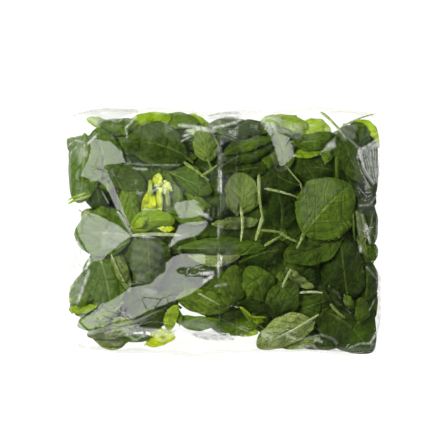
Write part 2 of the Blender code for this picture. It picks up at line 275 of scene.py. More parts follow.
# Kind; the face that is up; blade middle x, y; heading of the tip in degrees; blade length, width; how far
# its edges drop; stalk length; and how light its skin is: 0 is dark, 1 is light, and either may be passed.
UPPER, UNDER = 1, -1
LAID = (
    ("fresh", UPPER, 83, 20, 46, 56, 52, 3.0, 2, 0.45),
    ("stalk", UPPER, 62.5, -8, 243, 13, 2.2, 0, 0, 0.3),
    ("stalk", UPPER, 46.5, 31.5, -14.5, 28, 2.2, 0, 0, 0.3),
    ("stalk", UPPER, 30.5, 28, -85, 37, 2.7, 0, 0, 0.2),
    ("stalk", UPPER, 29, 2.5, -107, 21, 3.2, 0, 0, 0.4),
    ("stalk", UPPER, 14, 6, -90, 28, 2.5, 0, 0, 0.7),
    ("stalk", UPPER, 71.5, -50, 0, 19, 2.2, 0, 0, 1.6),
    ("stalk", UPPER, 51.5, -37.5, 65, 17, 2.2, 0, 0, 0.5),
    ("stalk", UPPER, -22, 49, -36, 26, 2.7, 0, 0, 0.0),
    ("stalk", UPPER, -11.5, 49.5, 35, 16, 2.4, 0, 0, -0.3),
    ("lime", UPPER, -119, 26, 198, 22, 2.4, 0, 0, 0.5),
    ("lime", UPPER, -121, 28.5, 200, 18, 2, 0, 0, 0.5),
    ("stalk", UPPER, -54, -3.2, 0, 40, 3.2, 0, 0, 0.5),
    ("lime", UPPER, 18, -65.5, -40, 12, 2.4, 0, 0, 0.8),
    ("fresh", UPPER, 19.5, -69, -58, 18, 2.6, 0, 0, 1.2),
    ("lime", UPPER, 27.5, -69.5, -4, 15, 2.0, 0, 0, 0.3),
    ("lime", UPPER, 28, -73, -8, 10, 5, 0.5, 0, 0.0),
    ("stalk", UPPER, -12, -55, -29, 20, 2, 0, 0, 0.6),
    ("stalk", UPPER, 111, 91, 22, 34, 1.5, 0, 0, 0.8),
    ("stalk", UPPER, 40, 0, -6, 19, 2.2, 0, 0, -0.2),
    ("stalk", UPPER, 53, -4.5, -28, 17, 2.6, 0, 0, -0.2),
    ("stalk", UPPER, 41, -7, 30, 18, 2.6, 0, 0, -0.1),
    ("fresh", UPPER, 107, 6, -88, 28, 1.8, 0, 0, 0.2),
    ("fresh", UPPER, 93, 50, -88, 22, 2.4, 0, 0, 0.3),
    ("stalk", UPPER, 58, 45, -50, 18, 1.4, 0, 0, 0.2),
    ("stalk", UPPER, 64, 35, -75, 10, 1.4, 0, 0, 0.2),
    ("stalk", UPPER, -86, -30, -64, 26, 1.6, 0, 0, 0.1),
    # A near-black leaf laid where the heap shows only shade: a painted shadow
    ("deep", UPPER, -6, 15.5, 8, 24, 11, 0.5, 0, -0.9),
    ("deep", UPPER, -55, 71.5, 167, 54, 37, 2.0, 6, 0.7),
    ("fresh", UNDER, 16, 31, 86, 34, 30, 2.5, 0, 0.1),
    ("fresh", UNDER, -15, 71, 96, 28, 22, 2.0, 10, 0.2),
    ("fresh", UPPER, -115, 51, -95, 56, 32, 1.0, 0, 0.0),
    ("fresh", UPPER, -99, -1, 178, 47, 42, 3.0, 0, 0.1),
    ("deep", UPPER, 73, -15, 198, 50, 25, 2.0, 2, 0.8),
    ("stalk", UPPER, 60, -78, 210, 42, 2.2, 0, 0, 0.8),
    ("pale", UNDER, 49, -81.5, 203, 50, 26, 1.0, 0, 1.2),
    ("fresh", UPPER, 114, -64, 86, 20, 13, 1.0, 0, -0.1),
    ("fresh", UPPER, 103, -58, -58, 13, 8, 1.0, 0, 0.2),
    # A near-black leaf laid where the heap shows only shade: a painted shadow
    ("deep", UPPER, 96, -57, -48, 30, 10, 1.0, 0, -0.7),
    ("stalk", UPPER, 93.5, -65, -44, 17, 2.8, 0, 0, 0.0),
    ("deep", UPPER, 105.5, -79.5, -43, 54, 44, 2.5, 0, 0.6),
    ("stalk", UPPER, 90, 87.5, -48, 31, 2.4, 0, 0, 0.3),
    ("deep", UPPER, 103, 62, -72, 50, 24, 2.0, 0, 0.7),
    ("deep", UPPER, 120.5, 54, -86, 50, 19, 1.0, 0, -0.4),
    ("deep", UPPER, 102, 43, -62, 34, 22, 2.0, 0, -0.1),
    ("fresh", UPPER, 112, 79, -50, 25, 18, 1.5, 0, 0.0),
    ("fresh", UPPER, 75, 74, 10, 36, 15, 1.5, 0, 0.0),
    ("lime", UPPER, 75, 67, 21, 34, 10, 1.0, 0, 0.0),
    ("fresh", UPPER, 85, 64, 68, 15, 10, 0.5, 0, 1.0),
    ("deep", UPPER, 78, 52, 175, 36, 24, 2.0, 0, 0.5),
    ("deep", UPPER, 48, 43, 150, 27, 21, 2.0, 0, -0.4),
    ("deep", UPPER, 47, 17, 95, 29, 24, 1.0, 0, -0.5),
    ("deep", UPPER, 18, 84, 12, 38, 15, 2.0, 0, 0.5),
    ("fresh", UPPER, 19, 72, 17, 42, 13, 3.0, 0, 0.3),
    ("deep", UPPER, 20, 62, 14, 44, 14, 3.0, 0, 0.5),
    ("fresh", UPPER, 38, 64, -60, 30, 19, 1.5, 0, 0.1),
    ("fresh", UPPER, 49, 70, -70, 36, 22, 1.5, 0, 0.2),
    ("lime", UPPER, 53, 87.5, -12, 32, 17, 1.5, 0, 0.4),
    ("lime", UPPER, 76, 84, -18, 28, 19, 1.0, 0, 0.5),
    ("lime", UPPER, 118, 78.5, -42, 31, 22, 1.5, 0, 0.5),
    ("deep", UPPER, 98, 77, 20, 24, 15, 1.0, 0, 0.8),
    ("deep", UPPER, 18, 51, 8, 40, 20, 2.0, 0, 0.5),
    ("lime", UPPER, 36, 89, 40, 22, 12, 1.5, 0, 0.2),
    ("pale", UNDER, 11, 7, 3, 38, 11, 1.0, 0, 0.0),
    # A near-black leaf laid where the heap shows only shade: a painted shadow
    ("deep", UPPER, 25, -60.5, -10, 25, 10, 1.0, 0, -0.5),
    ("deep", UNDER, 48, -56, 68, 36, 29, -1.0, 0, 0.7),
    ("fresh", UPPER, 29, -43, 108, 34, 28, 2.0, 0, 0.35),
    ("fresh", UPPER, 8, -44, 80, 34, 24, 2.0, 0, 0.8),
    ("pale", UNDER, 62, -40, -35, 26, 9, 1.5, 0, 0.2),
    ("deep", UPPER, 98, -31, 97, 52, 38, 2.0, 0, 0.3),
    ("deep", UPPER, 117.5, -38, 95, 38, 24, 2.0, 0, 0.4),
    ("deep", UPPER, 116.5, 30, 85, 26, 21, 2.0, 0, 0.3),
    ("pale", UNDER, 114, 4, 98, 34, 9, 1.0, 0, 0.0),
    ("deep", UPPER, 121, 8, 92, 40, 14, 1.0, 0, 0.3),
    ("fresh", UPPER, 123, -17, 90, 15, 11, 1.0, 0, 0.0),
    ("lime", UPPER, -67, 8, 40, 12, 7, 0.5, 0, 0.9),
    ("gold", UPPER, -46, 2, 0, 12, 5, 0.5, 0, 0.0),
    ("lime", UPPER, -58, 9.5, 10, 36, 18, 1.0, 0, -0.6),
    ("lime", UPPER, -60, 36, 88, 12, 4.4, 0, 0, 1.6),
    ("gold", UPPER, -53.5, 42, 70, 11, 9, 0.5, 0, 0.2),
    ("pale", UPPER, -45, 28, 94, 13, 4.5, 0, 0, 1.5),
    ("gold", UPPER, -61, 22, 84, 23, 12, 0.5, 0, 0.0),
    ("gold", UPPER, -49, 36.5, 150, 14, 11, 0.5, 0, 1.3),
    ("gold", UPPER, -53, 25, 92, 22, 7, 0.5, 0, 0.5),
    ("deep", UPPER, -57.5, 26, 95, 16, 6, 0.5, 0, 0.4),
    ("deep", UPPER, -79, 43, -20, 38, 19, 2.0, 0, 0.8),
    ("fresh", UPPER, -74, 19, -78, 42, 21, 2.0, 0, 1.1),
    ("fresh", UPPER, -44, 30, 112, 38, 20, 1.5, 0, 0.3),
    ("fresh", UPPER, -98, 60, 100, 52, 36, 1.0, 0, 0.0),
    ("fresh", UPPER, -114, 69, 176, 42, 20, 1.0, 0, 0.0),
    ("deep", UPPER, -102, 28, -80, 24, 22, 1.0, 0, 0.0),
    ("fresh", UPPER, -112, 36, 200, 28, 17, 1.0, 0, 0.7),
    ("fresh", UPPER, -88, 86, 178, 32, 15, 1.0, 0, 0.2),
    ("lime", UPPER, -103, 90, 160, 20, 9, 1.0, 0, 0.2),
    ("fresh", UPPER, -84, 73, -60, 24, 14, 1.0, 0, 0.2),
    ("deep", UPPER, -76, 64, 200, 28, 24, 1.0, 0, 0.0),
    ("lime", UPPER, -60, 89, 10, 36, 19, 1.0, 0, -0.7),
    ("fresh", UPPER, -38, 91, 5, 34, 15, 1.0, 0, 0.6),
    ("fresh", UPPER, 4, 86.5, 6, 34, 14, 0.5, 0, 0.4),
    ("lime", UPPER, -22, 87, -20, 24, 17, 1.0, 0, 0.3),
    ("deep", UPPER, -20, 78, 0, 40, 26, 1.0, 0, 0.5),
    ("pale", UNDER, -83, -31, -68, 40, 12, 2.0, 0, -0.4),
    ("fresh", UPPER, -96, -39, -78, 50, 36, 2.0, 0, 0.0),
    ("deep", UPPER, -61, -24, -88, 44, 36, 2.0, 0, 0.8),
    ("fresh", UPPER, -117.5, -42, 232, 32, 9, 0.5, 0, 0.3),
    ("fresh", UPPER, -112, -50, 245, 28, 16, 0.5, 0, 0.5),
    ("lime", UPPER, -117, -63.5, 186, 24, 8, 1.0, 0, 0.5),
    ("fresh", UPPER, -113, -59, 190, 30, 14, 1.0, 0, 0.7),
    ("lime", UPPER, -122, -53, 100, 20, 13, 1.0, 0, 0.5),
    ("fresh", UPPER, -105, -62, 186, 44, 22, 2.0, 0, 0.6),
    ("fresh", UPPER, -106, -72, 200, 30, 19, 1.0, 0, 0.8),
    ("pale", UPPER, -92, -79, 190, 42, 18, 1.0, 0, 0.5),
    ("fresh", UPPER, -73, -87.5, 184, 26, 7, 0.5, 0, 0.4),
    ("pale", UPPER, -91, -87, 184, 34, 16, 0.5, 0, 0.4),
    ("pale", UPPER, -91, -91, 188, 26, 13, 0.5, 0, 1.3),
    ("lime", UPPER, -43, -70, 72, 22, 11, 1.0, 0, 0.7),
    ("fresh", UPPER, -37, -69.5, 100, 12, 7, 1.0, 0, 0.8),
    ("deep", UPPER, -58, -71, 10, 42, 18, 2.0, 0, 0.6),
    ("gold", UPPER, -52, -87, 15, 25, 14, 1.0, 0, -0.4),
    ("fresh", UPPER, -16, -57, -10, 43, 21, 1.0, 0, 1.1),
    ("fresh", UPPER, -21, -75, -4, 36, 12.5, 1.0, 0, 0.8),
    ("deep", UPPER, 1, -67.5, -5, 46, 13, 1.0, 0, 0.4),
    ("fresh", UPPER, 9, -77.5, 2, 44, 17, 1.0, 0, 0.9),
    ("lime", UPPER, 20, -82, 5, 17, 8, 0.5, 0, 0.2),
    ("pale", UNDER, -6.5, -23.8, 1, 40, 9.5, 1.0, 0, 0.5),
    ("fresh", UPPER, 0, -13, 0, 70, 17, 2.0, 0, 0.1),
    ("deep", UPPER, 34, -17, 15, 42, 24, 2.0, 0, 0.0),
    ("deep", UPPER, -25, -31, 5, 34, 14, 1.5, 0, 0.4),
    ("fresh", UPPER, -29, 18, 172, 42, 26, 2.0, 0, 0.7),
    ("fresh", UPPER, -30, 42, -24, 46, 26, 2.0, 0, -0.2),
    ("fresh", UPPER, -36, 61, 10, 28, 14, 1.0, 0, 0.0),
    ("deep", UPPER, -12, 36, 20, 30, 20, 2.0, 0, 0.5),
    ("pale", UPPER, 58, -93.5, 184, 40, 8, 0.5, 0, 0.7),
    ("deep", UPPER, 76, -90, 178, 52, 16, 1.0, 0, 0.7),
    ("deep", UPPER, 36, -74, 10, 28, 18, 1.0, 0, 0.4),
    ("deep", UPPER, 70, -40, 20, 30, 20, 2.0, 0, -0.3),
    ("deep", UPPER, 72, -60, 20, 44, 34, 2.0, 0, 0.8),
    ("deep", UPPER, 118, -58, 78, 38, 22, 1.0, 0, 0.4),
    ("deep", UPPER, 70, 22, 90, 40, 34, 1.0, 0, 0.2),
    ("deep", UPPER, -47, -56, 25, 26, 15, 1.0, 0, 0.6),
)

# The heap's outline on the plan, and spots where light comes up through it: x, y, radius
HEAP_OUTLINE = (
    (-128, 78), (-112, 79), (-104, 82), (-108, 93), (-100, 95), (-84, 92), (-74, 97), (-50, 98), (-30, 97),
    (-12, 94), (2, 96), (20, 92), (32, 94), (60, 95), (78, 92), (86, 84), (92, 82), (104, 90), (116, 91),
    (127, 80), (127, 60), (126, 15), (124, -8), (127, -16), (126, -30), (127, -50), (126, -80), (120, -95),
    (95, -97), (40, -95), (28, -92), (20, -86), (0, -84), (-12, -80), (-34, -80), (-38, -74), (-42, -84),
    (-46, -92), (-58, -94), (-66, -89), (-80, -91), (-86, -97), (-94, -96), (-106, -88), (-118, -74),
    (-128, -66), (-128, -56), (-116, -50), (-112, -35), (-108, -26), (-118, -10), (-122, 0), (-121, 12),
    (-114, 20), (-118, 28), (-124, 36), (-128, 50),
)
CLEAR_SPOTS = ((-35, -64, 2), (-29, -67, 2.5), (-24, -68.5, 1), (87, 70, 4))

KINDS = ("deep", "fresh", "pale", "lime", "gold", "stalk")
# Hidden leaves: how many, whether laid from below, longest blade, and how far they keep inside the outline
FILLS = ((85, False, 58, 4), (30, False, 30, 1), (60, True, 54, 4))
FILL_MIX = (0.66, 0.27, 0.07)  # deep, fresh, pale
FILL_SEED = 5

# Least and most of a hidden leaf's middle x, y; heading; share of the longest blade; width for its length;
# drop; and tone
FILL_LEAST = (-WIDTH / 2, -LENGTH / 2, 0, 0.6, 0.58, -1.0, 0.0)
FILL_MOST = (WIDTH / 2, LENGTH / 2, 360, 1.0, 0.85, 3.5, 1.0)
FACE_UP = 0.7  # share of the hidden leaves with the upper face up
LEAST_ROOM = 8  # from a hidden leaf's middle to the heap's outline
RIM_ROOM = 16  # shorter hidden leaves lie within this of the outline
RIM_LEAF = 40  # longest blade that counts as short
STALK_SHARE = 0.3  # a hidden leaf's stalk, of its room
LONGEST_STALK = 8.0


# ---------------------------------------------------------------- fields over the plan

CELL = 1.0
ACROSS = np.arange(-math.ceil(WIDTH / 2) - 1, math.ceil(WIDTH / 2) + 2, CELL)
ALONG = np.arange(-math.ceil(LENGTH / 2) - 1, math.ceil(LENGTH / 2) + 2, CELL)
PLAN_X, PLAN_Y = np.meshgrid(ACROSS, ALONG)


def smooth_step(low, high, value):
    """0 below low, 1 above high, and 3 s^2 - 2 s^3 between them."""
    share = np.clip((value - low) / (high - low), 0.0, 1.0)
    return share * share * (3.0 - 2.0 * share)


def read_field(field, x, y):
    """The field's value at any plan points: the four nearest cells, weighed by nearness."""
    column = np.clip((x - ACROSS[0]) / CELL, 0, len(ACROSS) - 1.001)
    row = np.clip((y - ALONG[0]) / CELL, 0, len(ALONG) - 1.001)
    i, j = row.astype(int), column.astype(int)
    s, t = row - i, column - j
    near = field[i, j] * (1 - t) + field[i, j + 1] * t
    far = field[i + 1, j] * (1 - t) + field[i + 1, j + 1] * t
    return near * (1 - s) + far * s


def outline(u, v):
    """Plan position of a grid point: a rectangle with wavy sides and tucked-in corners."""
    x = WIDTH / 2 * u * (1 + CROWDING - CROWDING * u * u)
    y = LENGTH / 2 * v
    near_side = np.abs(u) ** CORNER_POWER
    near_end = np.abs(v) ** CORNER_POWER
    for (side, end), (tuck_across, tuck_along) in CORNER_TUCKS.items():
        here = near_side * near_end * (np.sign(u) == side) * (np.sign(v) == end)
        x = x - here * side * tuck_across * WIDTH / 2
        y = y - here * end * tuck_along * LENGTH / 2
    for depth, waves, phase in EDGE_WAVES:
        x = x - near_side * np.sign(u) * depth * (1 + np.sin(math.pi * waves * v + phase + u))
        y = y - near_end * np.sign(v) * depth * (1 + np.sin(math.pi * waves * u + phase + v))
    return x, y


def fullness(x, y):
    """(1 - |x share|^a)^b * (1 - |y share|^c)^d: 1 over the middle, 0 at the folds and the seals."""
    across, across_end = CROWN_POWERS
    along, along_end = TAPER_POWERS
    u = np.clip(np.abs(x) / (WIDTH / 2), 0.0, 1.0)
    v = np.clip(np.abs(y) / (LENGTH / 2), 0.0, 1.0)
    return (1 - u**across) ** across_end * (1 - v**along) ** along_end


def lower_film(x, y):
    """Flat on the floor over the middle, then rising to the rim like a shallow bowl."""
    u = np.abs(x) / (WIDTH / 2)
    v = np.abs(y) / (LENGTH / 2)
    reach = np.clip((u**4 + v**4) ** 0.25, 0.0, 1.0)
    share = np.clip((reach - FLAT_SHARE) / (1 - FLAT_SHARE), 0.0, 1.0)
    return RIM_HEIGHT * share**BOWL_POWER


def pleats(x, y):
    """A sine across the bag, drifting in spacing, that fades in towards each seal."""
    drift, rate = PLEAT_DRIFT
    nearness = smooth_step(*PLEAT_REACH, np.abs(y) / (LENGTH / 2))
    across = x / WIDTH
    return PLEAT_DEPTH * nearness * np.sin(2 * math.pi * PLEATS * across + drift * np.sin(rate * across))


def inside(corners, x, y):
    """True where a plan point is in the polygon: a ray from it crosses the sides an odd number of times."""
    found = np.zeros(x.shape, bool)
    for (x0, y0), (x1, y1) in zip(corners, corners[1:] + corners[:1]):
        if y0 != y1:
            found ^= ((y0 > y) != (y1 > y)) & (x < (x1 - x0) * (y - y0) / (y1 - y0) + x0)
    return found


def from_line(corners, x, y):
    """Distance from plan points to a line through these corners."""
    nearest = np.full(x.shape, 1e9)
    for (x0, y0), (x1, y1) in zip(corners, corners[1:]):
        dx, dy = x1 - x0, y1 - y0
        share = np.clip(((x - x0) * dx + (y - y0) * dy) / (dx * dx + dy * dy), 0.0, 1.0)
        nearest = np.minimum(nearest, np.hypot(x - x0 - share * dx, y - y0 - share * dy))
    return nearest


def from_border(corners, x, y):
    """Distance from plan points to the border of a polygon."""
    return from_line(corners + corners[:1], x, y)


def mirroring_slopes(lamp, x, y, z):
    """Slopes that mirror a lamp to the camera: the surface is square to the sum of the unit vectors from
    it to the two."""
    total = 0
    for place in (LAMPS[lamp][0], CAMERA_PLACE):
        there = np.stack([place[0] - x, place[1] - y, place[2] - z])
        total = total + there / np.linalg.norm(there, axis=0)
    return -total[0] / total[2], -total[1] / total[2]


def turned_away(slope_x, slope_y, mirror_x, mirror_y):
    """Slopes that would mirror a lamp, moved straight out of its reach."""
    away_x, away_y = slope_x - mirror_x, slope_y - mirror_y
    distance = np.maximum(np.hypot(away_x, away_y), 1e-6)
    stretch = np.maximum(LAMP_REACH / distance, 1.0)
    return mirror_x + away_x * stretch, mirror_y + away_y * stretch


ANCHOR = 1.5e-4  # pull of each cell to the plain pillow
LOOSE = 0.10  # hold of a slope outside the facets
FACET_HOLD = 12.0
EDGE_HOLD = 0.012  # hold along the facets' borders, where the film creases
EDGE_BAND = 4.0
STRAY_HOLD = 1.5
FIXED_FROM = 0.985  # share of the half sizes beyond which the film keeps the pillow's height
SOLVE_STEPS = 320
SOLVE_ROUNDS = 4
SLACK_REACH = 6.0  # distance from a facet at which the film is fully slack
RELIEF_FADE = 0.3  # power with which creases and crinkles fade towards the rim
HIGHEST_CREASE = 2.0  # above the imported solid


def sheet_with(wanted, hold, pillow):
    """The height whose slopes come closest to the wanted ones, with the rim fixed. It minimises the sum of
    hold * (slope - wanted)^2 + ANCHOR * (height - pillow)^2 by conjugate gradients."""
    wanted_x, wanted_y = wanted
    u, v = np.abs(PLAN_X) / (WIDTH / 2), np.abs(PLAN_Y) / (LENGTH / 2)
    free = ((u < FIXED_FROM) & (v < FIXED_FROM)).astype(float)
    hold_x = (hold[:, 1:] + hold[:, :-1]) / 2
    hold_y = (hold[1:] + hold[:-1]) / 2

    def spread(flow_x, flow_y):
        """What each cell gains from the flows between it and its neighbours."""
        out = np.zeros_like(pillow)
        out[:, 1:] += flow_x
        out[:, :-1] -= flow_x
        out[1:] += flow_y
        out[:-1] -= flow_y
        return out

    def system(height):
        """The pull that a height sets up at each cell that is free to move."""
        flows = spread(hold_x * np.diff(height, axis=1), hold_y * np.diff(height, axis=0))
        return (flows + ANCHOR * height) * free

    gap_x = (wanted_x[:, 1:] + wanted_x[:, :-1]) / 2 * CELL - np.diff(pillow, axis=1)
    gap_y = (wanted_y[1:] + wanted_y[:-1]) / 2 * CELL - np.diff(pillow, axis=0)
    change = np.zeros_like(pillow)
    error = spread(hold_x * gap_x, hold_y * gap_y) * free
    step = error.copy()
    size = (error * error).sum()
    for _ in range(SOLVE_STEPS):
        moved = system(step)
        pace = size / (step * moved).sum()
        change += pace * step
        error -= pace * moved
        next_size = (error * error).sum()
        step = error + next_size / size * step
        size = next_size
    return pillow + change


def tight_film():
    """The pleated film drawn into its facets. Where a sheet mirrors a lamp outside them, its slope is
    turned away and held, and the sheet is solved again."""
    full = fullness(PLAN_X, PLAN_Y)
    gathers = pleats(PLAN_X, PLAN_Y) * slack(PLAN_X, PLAN_Y) * full**0.5
    pillow = RIM_HEIGHT + (HEIGHT - RIM_HEIGHT) * full + gathers
    mirrors = {lamp: mirroring_slopes(lamp, PLAN_X, PLAN_Y, pillow) for lamp in MIRRORED_LAMPS}
    slope_y, slope_x = np.gradient(pillow, CELL)
    wanted = np.stack([slope_x, slope_y])
    for mirror in mirrors.values():
        wanted = np.stack(turned_away(*wanted, *mirror))
    hold = np.full(pillow.shape, LOOSE)
    for _, corners in FACETS.values():
        border = from_border(corners, PLAN_X, PLAN_Y)
        hold = np.where(border < EDGE_BAND, np.minimum(hold, EDGE_HOLD), hold)
    flats = [(lamp, inside(corners, PLAN_X, PLAN_Y)) for lamp, corners in FACETS.values()]
    flats += [(lamp, from_line(corners, PLAN_X, PLAN_Y) < width / 2) for lamp, corners, width in GLINTS]
    flat = np.zeros(pillow.shape, bool)
    for lamp, here in flats:
        wanted = np.where(here, mirrors[lamp], wanted)
        hold = np.where(here, FACET_HOLD, hold)
        flat |= here
    for _ in range(SOLVE_ROUNDS):
        height = sheet_with(wanted, hold, pillow)
        slope_y, slope_x = np.gradient(height, CELL)
        for mirror in mirrors.values():
            away = np.stack(turned_away(slope_x, slope_y, *mirror))
            stray = (np.hypot(slope_x - mirror[0], slope_y - mirror[1]) < LAMP_REACH) & ~flat
            wanted = np.where(stray, away, wanted)
            hold = np.where(stray, STRAY_HOLD, hold)
    return height


def creases(x, y):
    """Tent-shaped ridges and grooves: height * (1 - distance / half width), changing slowly along them."""
    total = np.zeros_like(x)
    for corners, height, half in CREASES:
        along = 0.75 + 0.25 * np.sin(0.21 * x + 0.17 * y + height * 40)
        total += height * along * np.clip(1 - from_line(corners, x, y) / half, 0.0, 1.0)
    return total


def crinkles(x, y):
    """Streaks with sharp crests: a triangle wave across each streak direction, bent by a slower wave."""
    total = np.zeros_like(x)
    for (mid_x, mid_y), (half_x, half_y), turn, spacing, height in CRINKLES:
        a, b = math.cos(math.radians(turn)), math.sin(math.radians(turn))
        across = (x - mid_x) * b - (y - mid_y) * a
        along = (x - mid_x) * a + (y - mid_y) * b
        bend = 0.45 * np.sin(along / (1.6 * spacing) + mid_x)
        phase = across / spacing + bend + 0.2 * np.sin(across * 0.9)
        wave = 1 - np.abs(2 * (phase % 1.0) - 1)
        fine = 1 - np.abs(2 * ((1.9 * phase + 0.3 * np.sin(along / spacing)) % 1.0) - 1)
        reach = 1 - smooth_step(0.55, 1.0, np.hypot((x - mid_x) / half_x, (y - mid_y) / half_y))
        total += height * reach * (0.7 * wave + 0.3 * fine)
    return total


def painted_film_marks(x, y):
    """How far the painted highlights and painted shade on the film hide what is under it, and the share of
    painted shade in that. Each mark is dashed and fades from 0.3 to 1.3 of its half width, and each haze is
    streaked and fades over 2.5 mm at its border."""
    pale, grey = np.zeros_like(x), np.zeros_like(x)
    for corners, half, strength in HIGHLIGHT_AND_SHADE_MARKS:
        dashes = 0.72 + 0.28 * np.sin(0.9 * x + 0.7 * y + 1.4 * np.sin(0.31 * x - 0.23 * y))
        near = 1 - smooth_step(0.3 * half, 1.3 * half, from_line(corners, x, y))
        here = strength * dashes * near
        pale, grey = np.maximum(pale, here), np.maximum(grey, -here)
    for corners, strength in GLARE_AND_SHADE_HAZES:
        depth = from_border(corners, x, y) * np.where(inside(corners, x, y), 1, -1)
        streaks = 0.75 + 0.25 * np.sin(0.8 * y + 0.25 * x + 2 * np.sin(0.12 * x))
        here = strength * streaks * smooth_step(-1.0, 1.5, depth)
        pale, grey = np.maximum(pale, here), np.maximum(grey, -here)
    return np.maximum(pale, grey), grey / np.maximum(pale + grey, 1e-6)


def slack(x, y):
    """0 on the facets, which are drawn flat, rising to 1 around them."""
    loose = np.ones_like(x)
    for _, corners in FACETS.values():
        away = np.where(inside(corners, x, y), 0.0, from_border(corners, x, y))
        loose = np.minimum(loose, smooth_step(0.0, SLACK_REACH, away))
    return loose


RELIEF_SHARE = fullness(PLAN_X, PLAN_Y) ** RELIEF_FADE
UPPER_FILM = tight_film()
UPPER_FILM += creases(PLAN_X, PLAN_Y) * RELIEF_SHARE
UPPER_FILM += crinkles(PLAN_X, PLAN_Y) * slack(PLAN_X, PLAN_Y) * RELIEF_SHARE
UPPER_FILM = np.minimum(UPPER_FILM, HEIGHT + HIGHEST_CREASE)
LOWER_FILM = lower_film(PLAN_X, PLAN_Y)


# ---------------------------------------------------------------- meshes


def make_piece(name, points, faces, material, uv=None, colour=None):
    """A mesh object at the origin from points in millimetres and lists of point numbers, one for each
    face, with a map and an attribute for each point where they are given."""
    mesh = bpy.data.meshes.new(name)
    mesh.from_pydata((points * MM).tolist(), [], faces)
    if uv is not None:
        corner = np.empty(len(mesh.loops), np.int32)
        mesh.loops.foreach_get("vertex_index", corner)
        layer = mesh.uv_layers.new(name="Leaf")
        layer.uv.foreach_set("vector", uv[corner].astype(np.float32).ravel())
    if colour is not None:
        layer = mesh.color_attributes.new("tones", "FLOAT_COLOR", "POINT")
        layer.data.foreach_set("color", colour.astype(np.float32).ravel())
    mesh.polygons.foreach_set("use_smooth", [True] * len(mesh.polygons))
    mesh.materials.append(material)
    piece = bpy.data.objects.new(name, mesh)
    bpy.context.scene.collection.objects.link(piece)
    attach(piece, "root")
    return piece


def grid_faces(rows, columns, wrap=False):
    """The four point numbers of each cell of a grid of rows * columns points, closed round with wrap."""
    i = np.arange(rows - 1)[:, None] * columns
    j = np.arange(columns if wrap else columns - 1)[None, :]
    k = (j + 1) % columns
    return np.stack([i + j, i + k, i + columns + k, i + columns + j], axis=-1).reshape(-1, 4)


def pillow_mesh(u, v, upper, lower):
    """A closed pillow: an upper grid and a lower one that share their border points. upper and lower give
    the height for plan points."""
    x, y = outline(u, v)
    rows, columns = x.shape
    top = np.arange(x.size).reshape(rows, columns)
    base = top.copy()
    inner = np.zeros((rows, columns), bool)
    inner[1:-1, 1:-1] = True
    base[inner] = x.size + np.arange(inner.sum())
    points = np.concatenate([
        np.stack([x, y, upper(x, y)], axis=-1).reshape(-1, 3),
        np.stack([x, y, lower(x, y)], axis=-1)[inner],
    ])
    cells = grid_faces(rows, columns)
    return points, np.concatenate([top.ravel()[cells], base.ravel()[cells][:, ::-1]]).tolist()


def slab_mesh(surface, thickness):
    """A closed thin slab round a grid of points (rows, columns, 3): half the thickness to either side
    along the surface's normals, with the two skins joined along the border."""
    along, across = np.gradient(surface, axis=0), np.gradient(surface, axis=1)
    normal = np.cross(across, along)
    normal /= np.maximum(np.linalg.norm(normal, axis=-1, keepdims=True), 1e-9)
    rows, columns = surface.shape[:2]
    offset = normal * thickness / 2
    skins = np.concatenate([(surface + offset).reshape(-1, 3), (surface - offset).reshape(-1, 3)])
    cells = grid_faces(rows, columns)
    count = rows * columns
    index = np.arange(count).reshape(rows, columns)
    border = np.concatenate([index[0, :-1], index[:-1, -1], index[-1, :0:-1], index[:0:-1, 0]])
    after = np.roll(border, -1)
    wall = np.stack([after, border, border + count, after + count], axis=-1)
    return skins, np.concatenate([cells, cells[:, ::-1] + count, wall])


# ---------------------------------------------------------------- leaves

SEEN_GRID = (5, 30, 21)  # rows of the stalk, rows of the blade, points across
HIDDEN_GRID = (3, 15, 13)
LOOSE_STALK = 5  # a row narrower than this is a loose stalk, not a leaf
LEAF_THICKNESS = 0.32
LAYER_GAP = 0.20  # between leaves
FILM_GAP = 0.5  # between the film and the first leaf on it
CLEARANCE = 0.4  # every leaf keeps this far from the film where there is room
SIDE_GAP = 0.7  # and this far from the bag's sides
PRESSED_FROM = 0.93  # share of the half sizes from which leaves are pressed together
STALK_TAPER = 0.35  # share of its width that a loose stalk loses towards one end
STALK_BEND = 0.05  # most that a loose stalk bends, of its length
STEM_RADIUS = 1.15  # of a leaf with the common blade; others go with the root of their length
COMMON_BLADE = 50
WIDEST_PLACES = (0.76, 0.96)  # least and most power that moves a blade's widest place towards its stalk
BLUNTNESS = (0.44, 0.66)  # least and most power that rounds its ends
LOBES = (0.06, 0.035)  # share of the width in the rim's slow and quick waves
SWAY = 0.10  # most that a blade curves sideways, of its length
RUFFLES = ((0.5, 2.0), (2.0, 3.6))  # least and most height of the rim's ruffles, and how many there are
FOLDS = (-0.22, 0.42)  # least and most slope down from the midrib
ARCHES = (0.0, 1.6)  # least and most fall from the blade's middle to its ends
BUMPS = ((0.50, 5.5, 10.0, 7), (1.6, 16.0, 36.0, 3))  # height, shortest and longest wave, how many waves
RAISED = 0.8  # how far the skin stands up between the side veins
VEINS = 5.0  # on each side of the midrib
VEIN_RISE = 2.3  # how far they run towards the tip before the edge


def ripple(a, b, draw, shortest, longest, count):
    """Gentle bumps over a leaf: sines with drawn directions, lengths and phases, summed, over count^0.5."""
    total = np.zeros(np.broadcast(a, b).shape)
    for _ in range(count):
        turn, phase = draw.uniform(0, 2 * math.pi, 2)
        length = draw.uniform(shortest, longest)
        total += np.sin(2 * math.pi * (a * math.cos(turn) + b * math.sin(turn)) / length + phase)
    return total / count**0.5


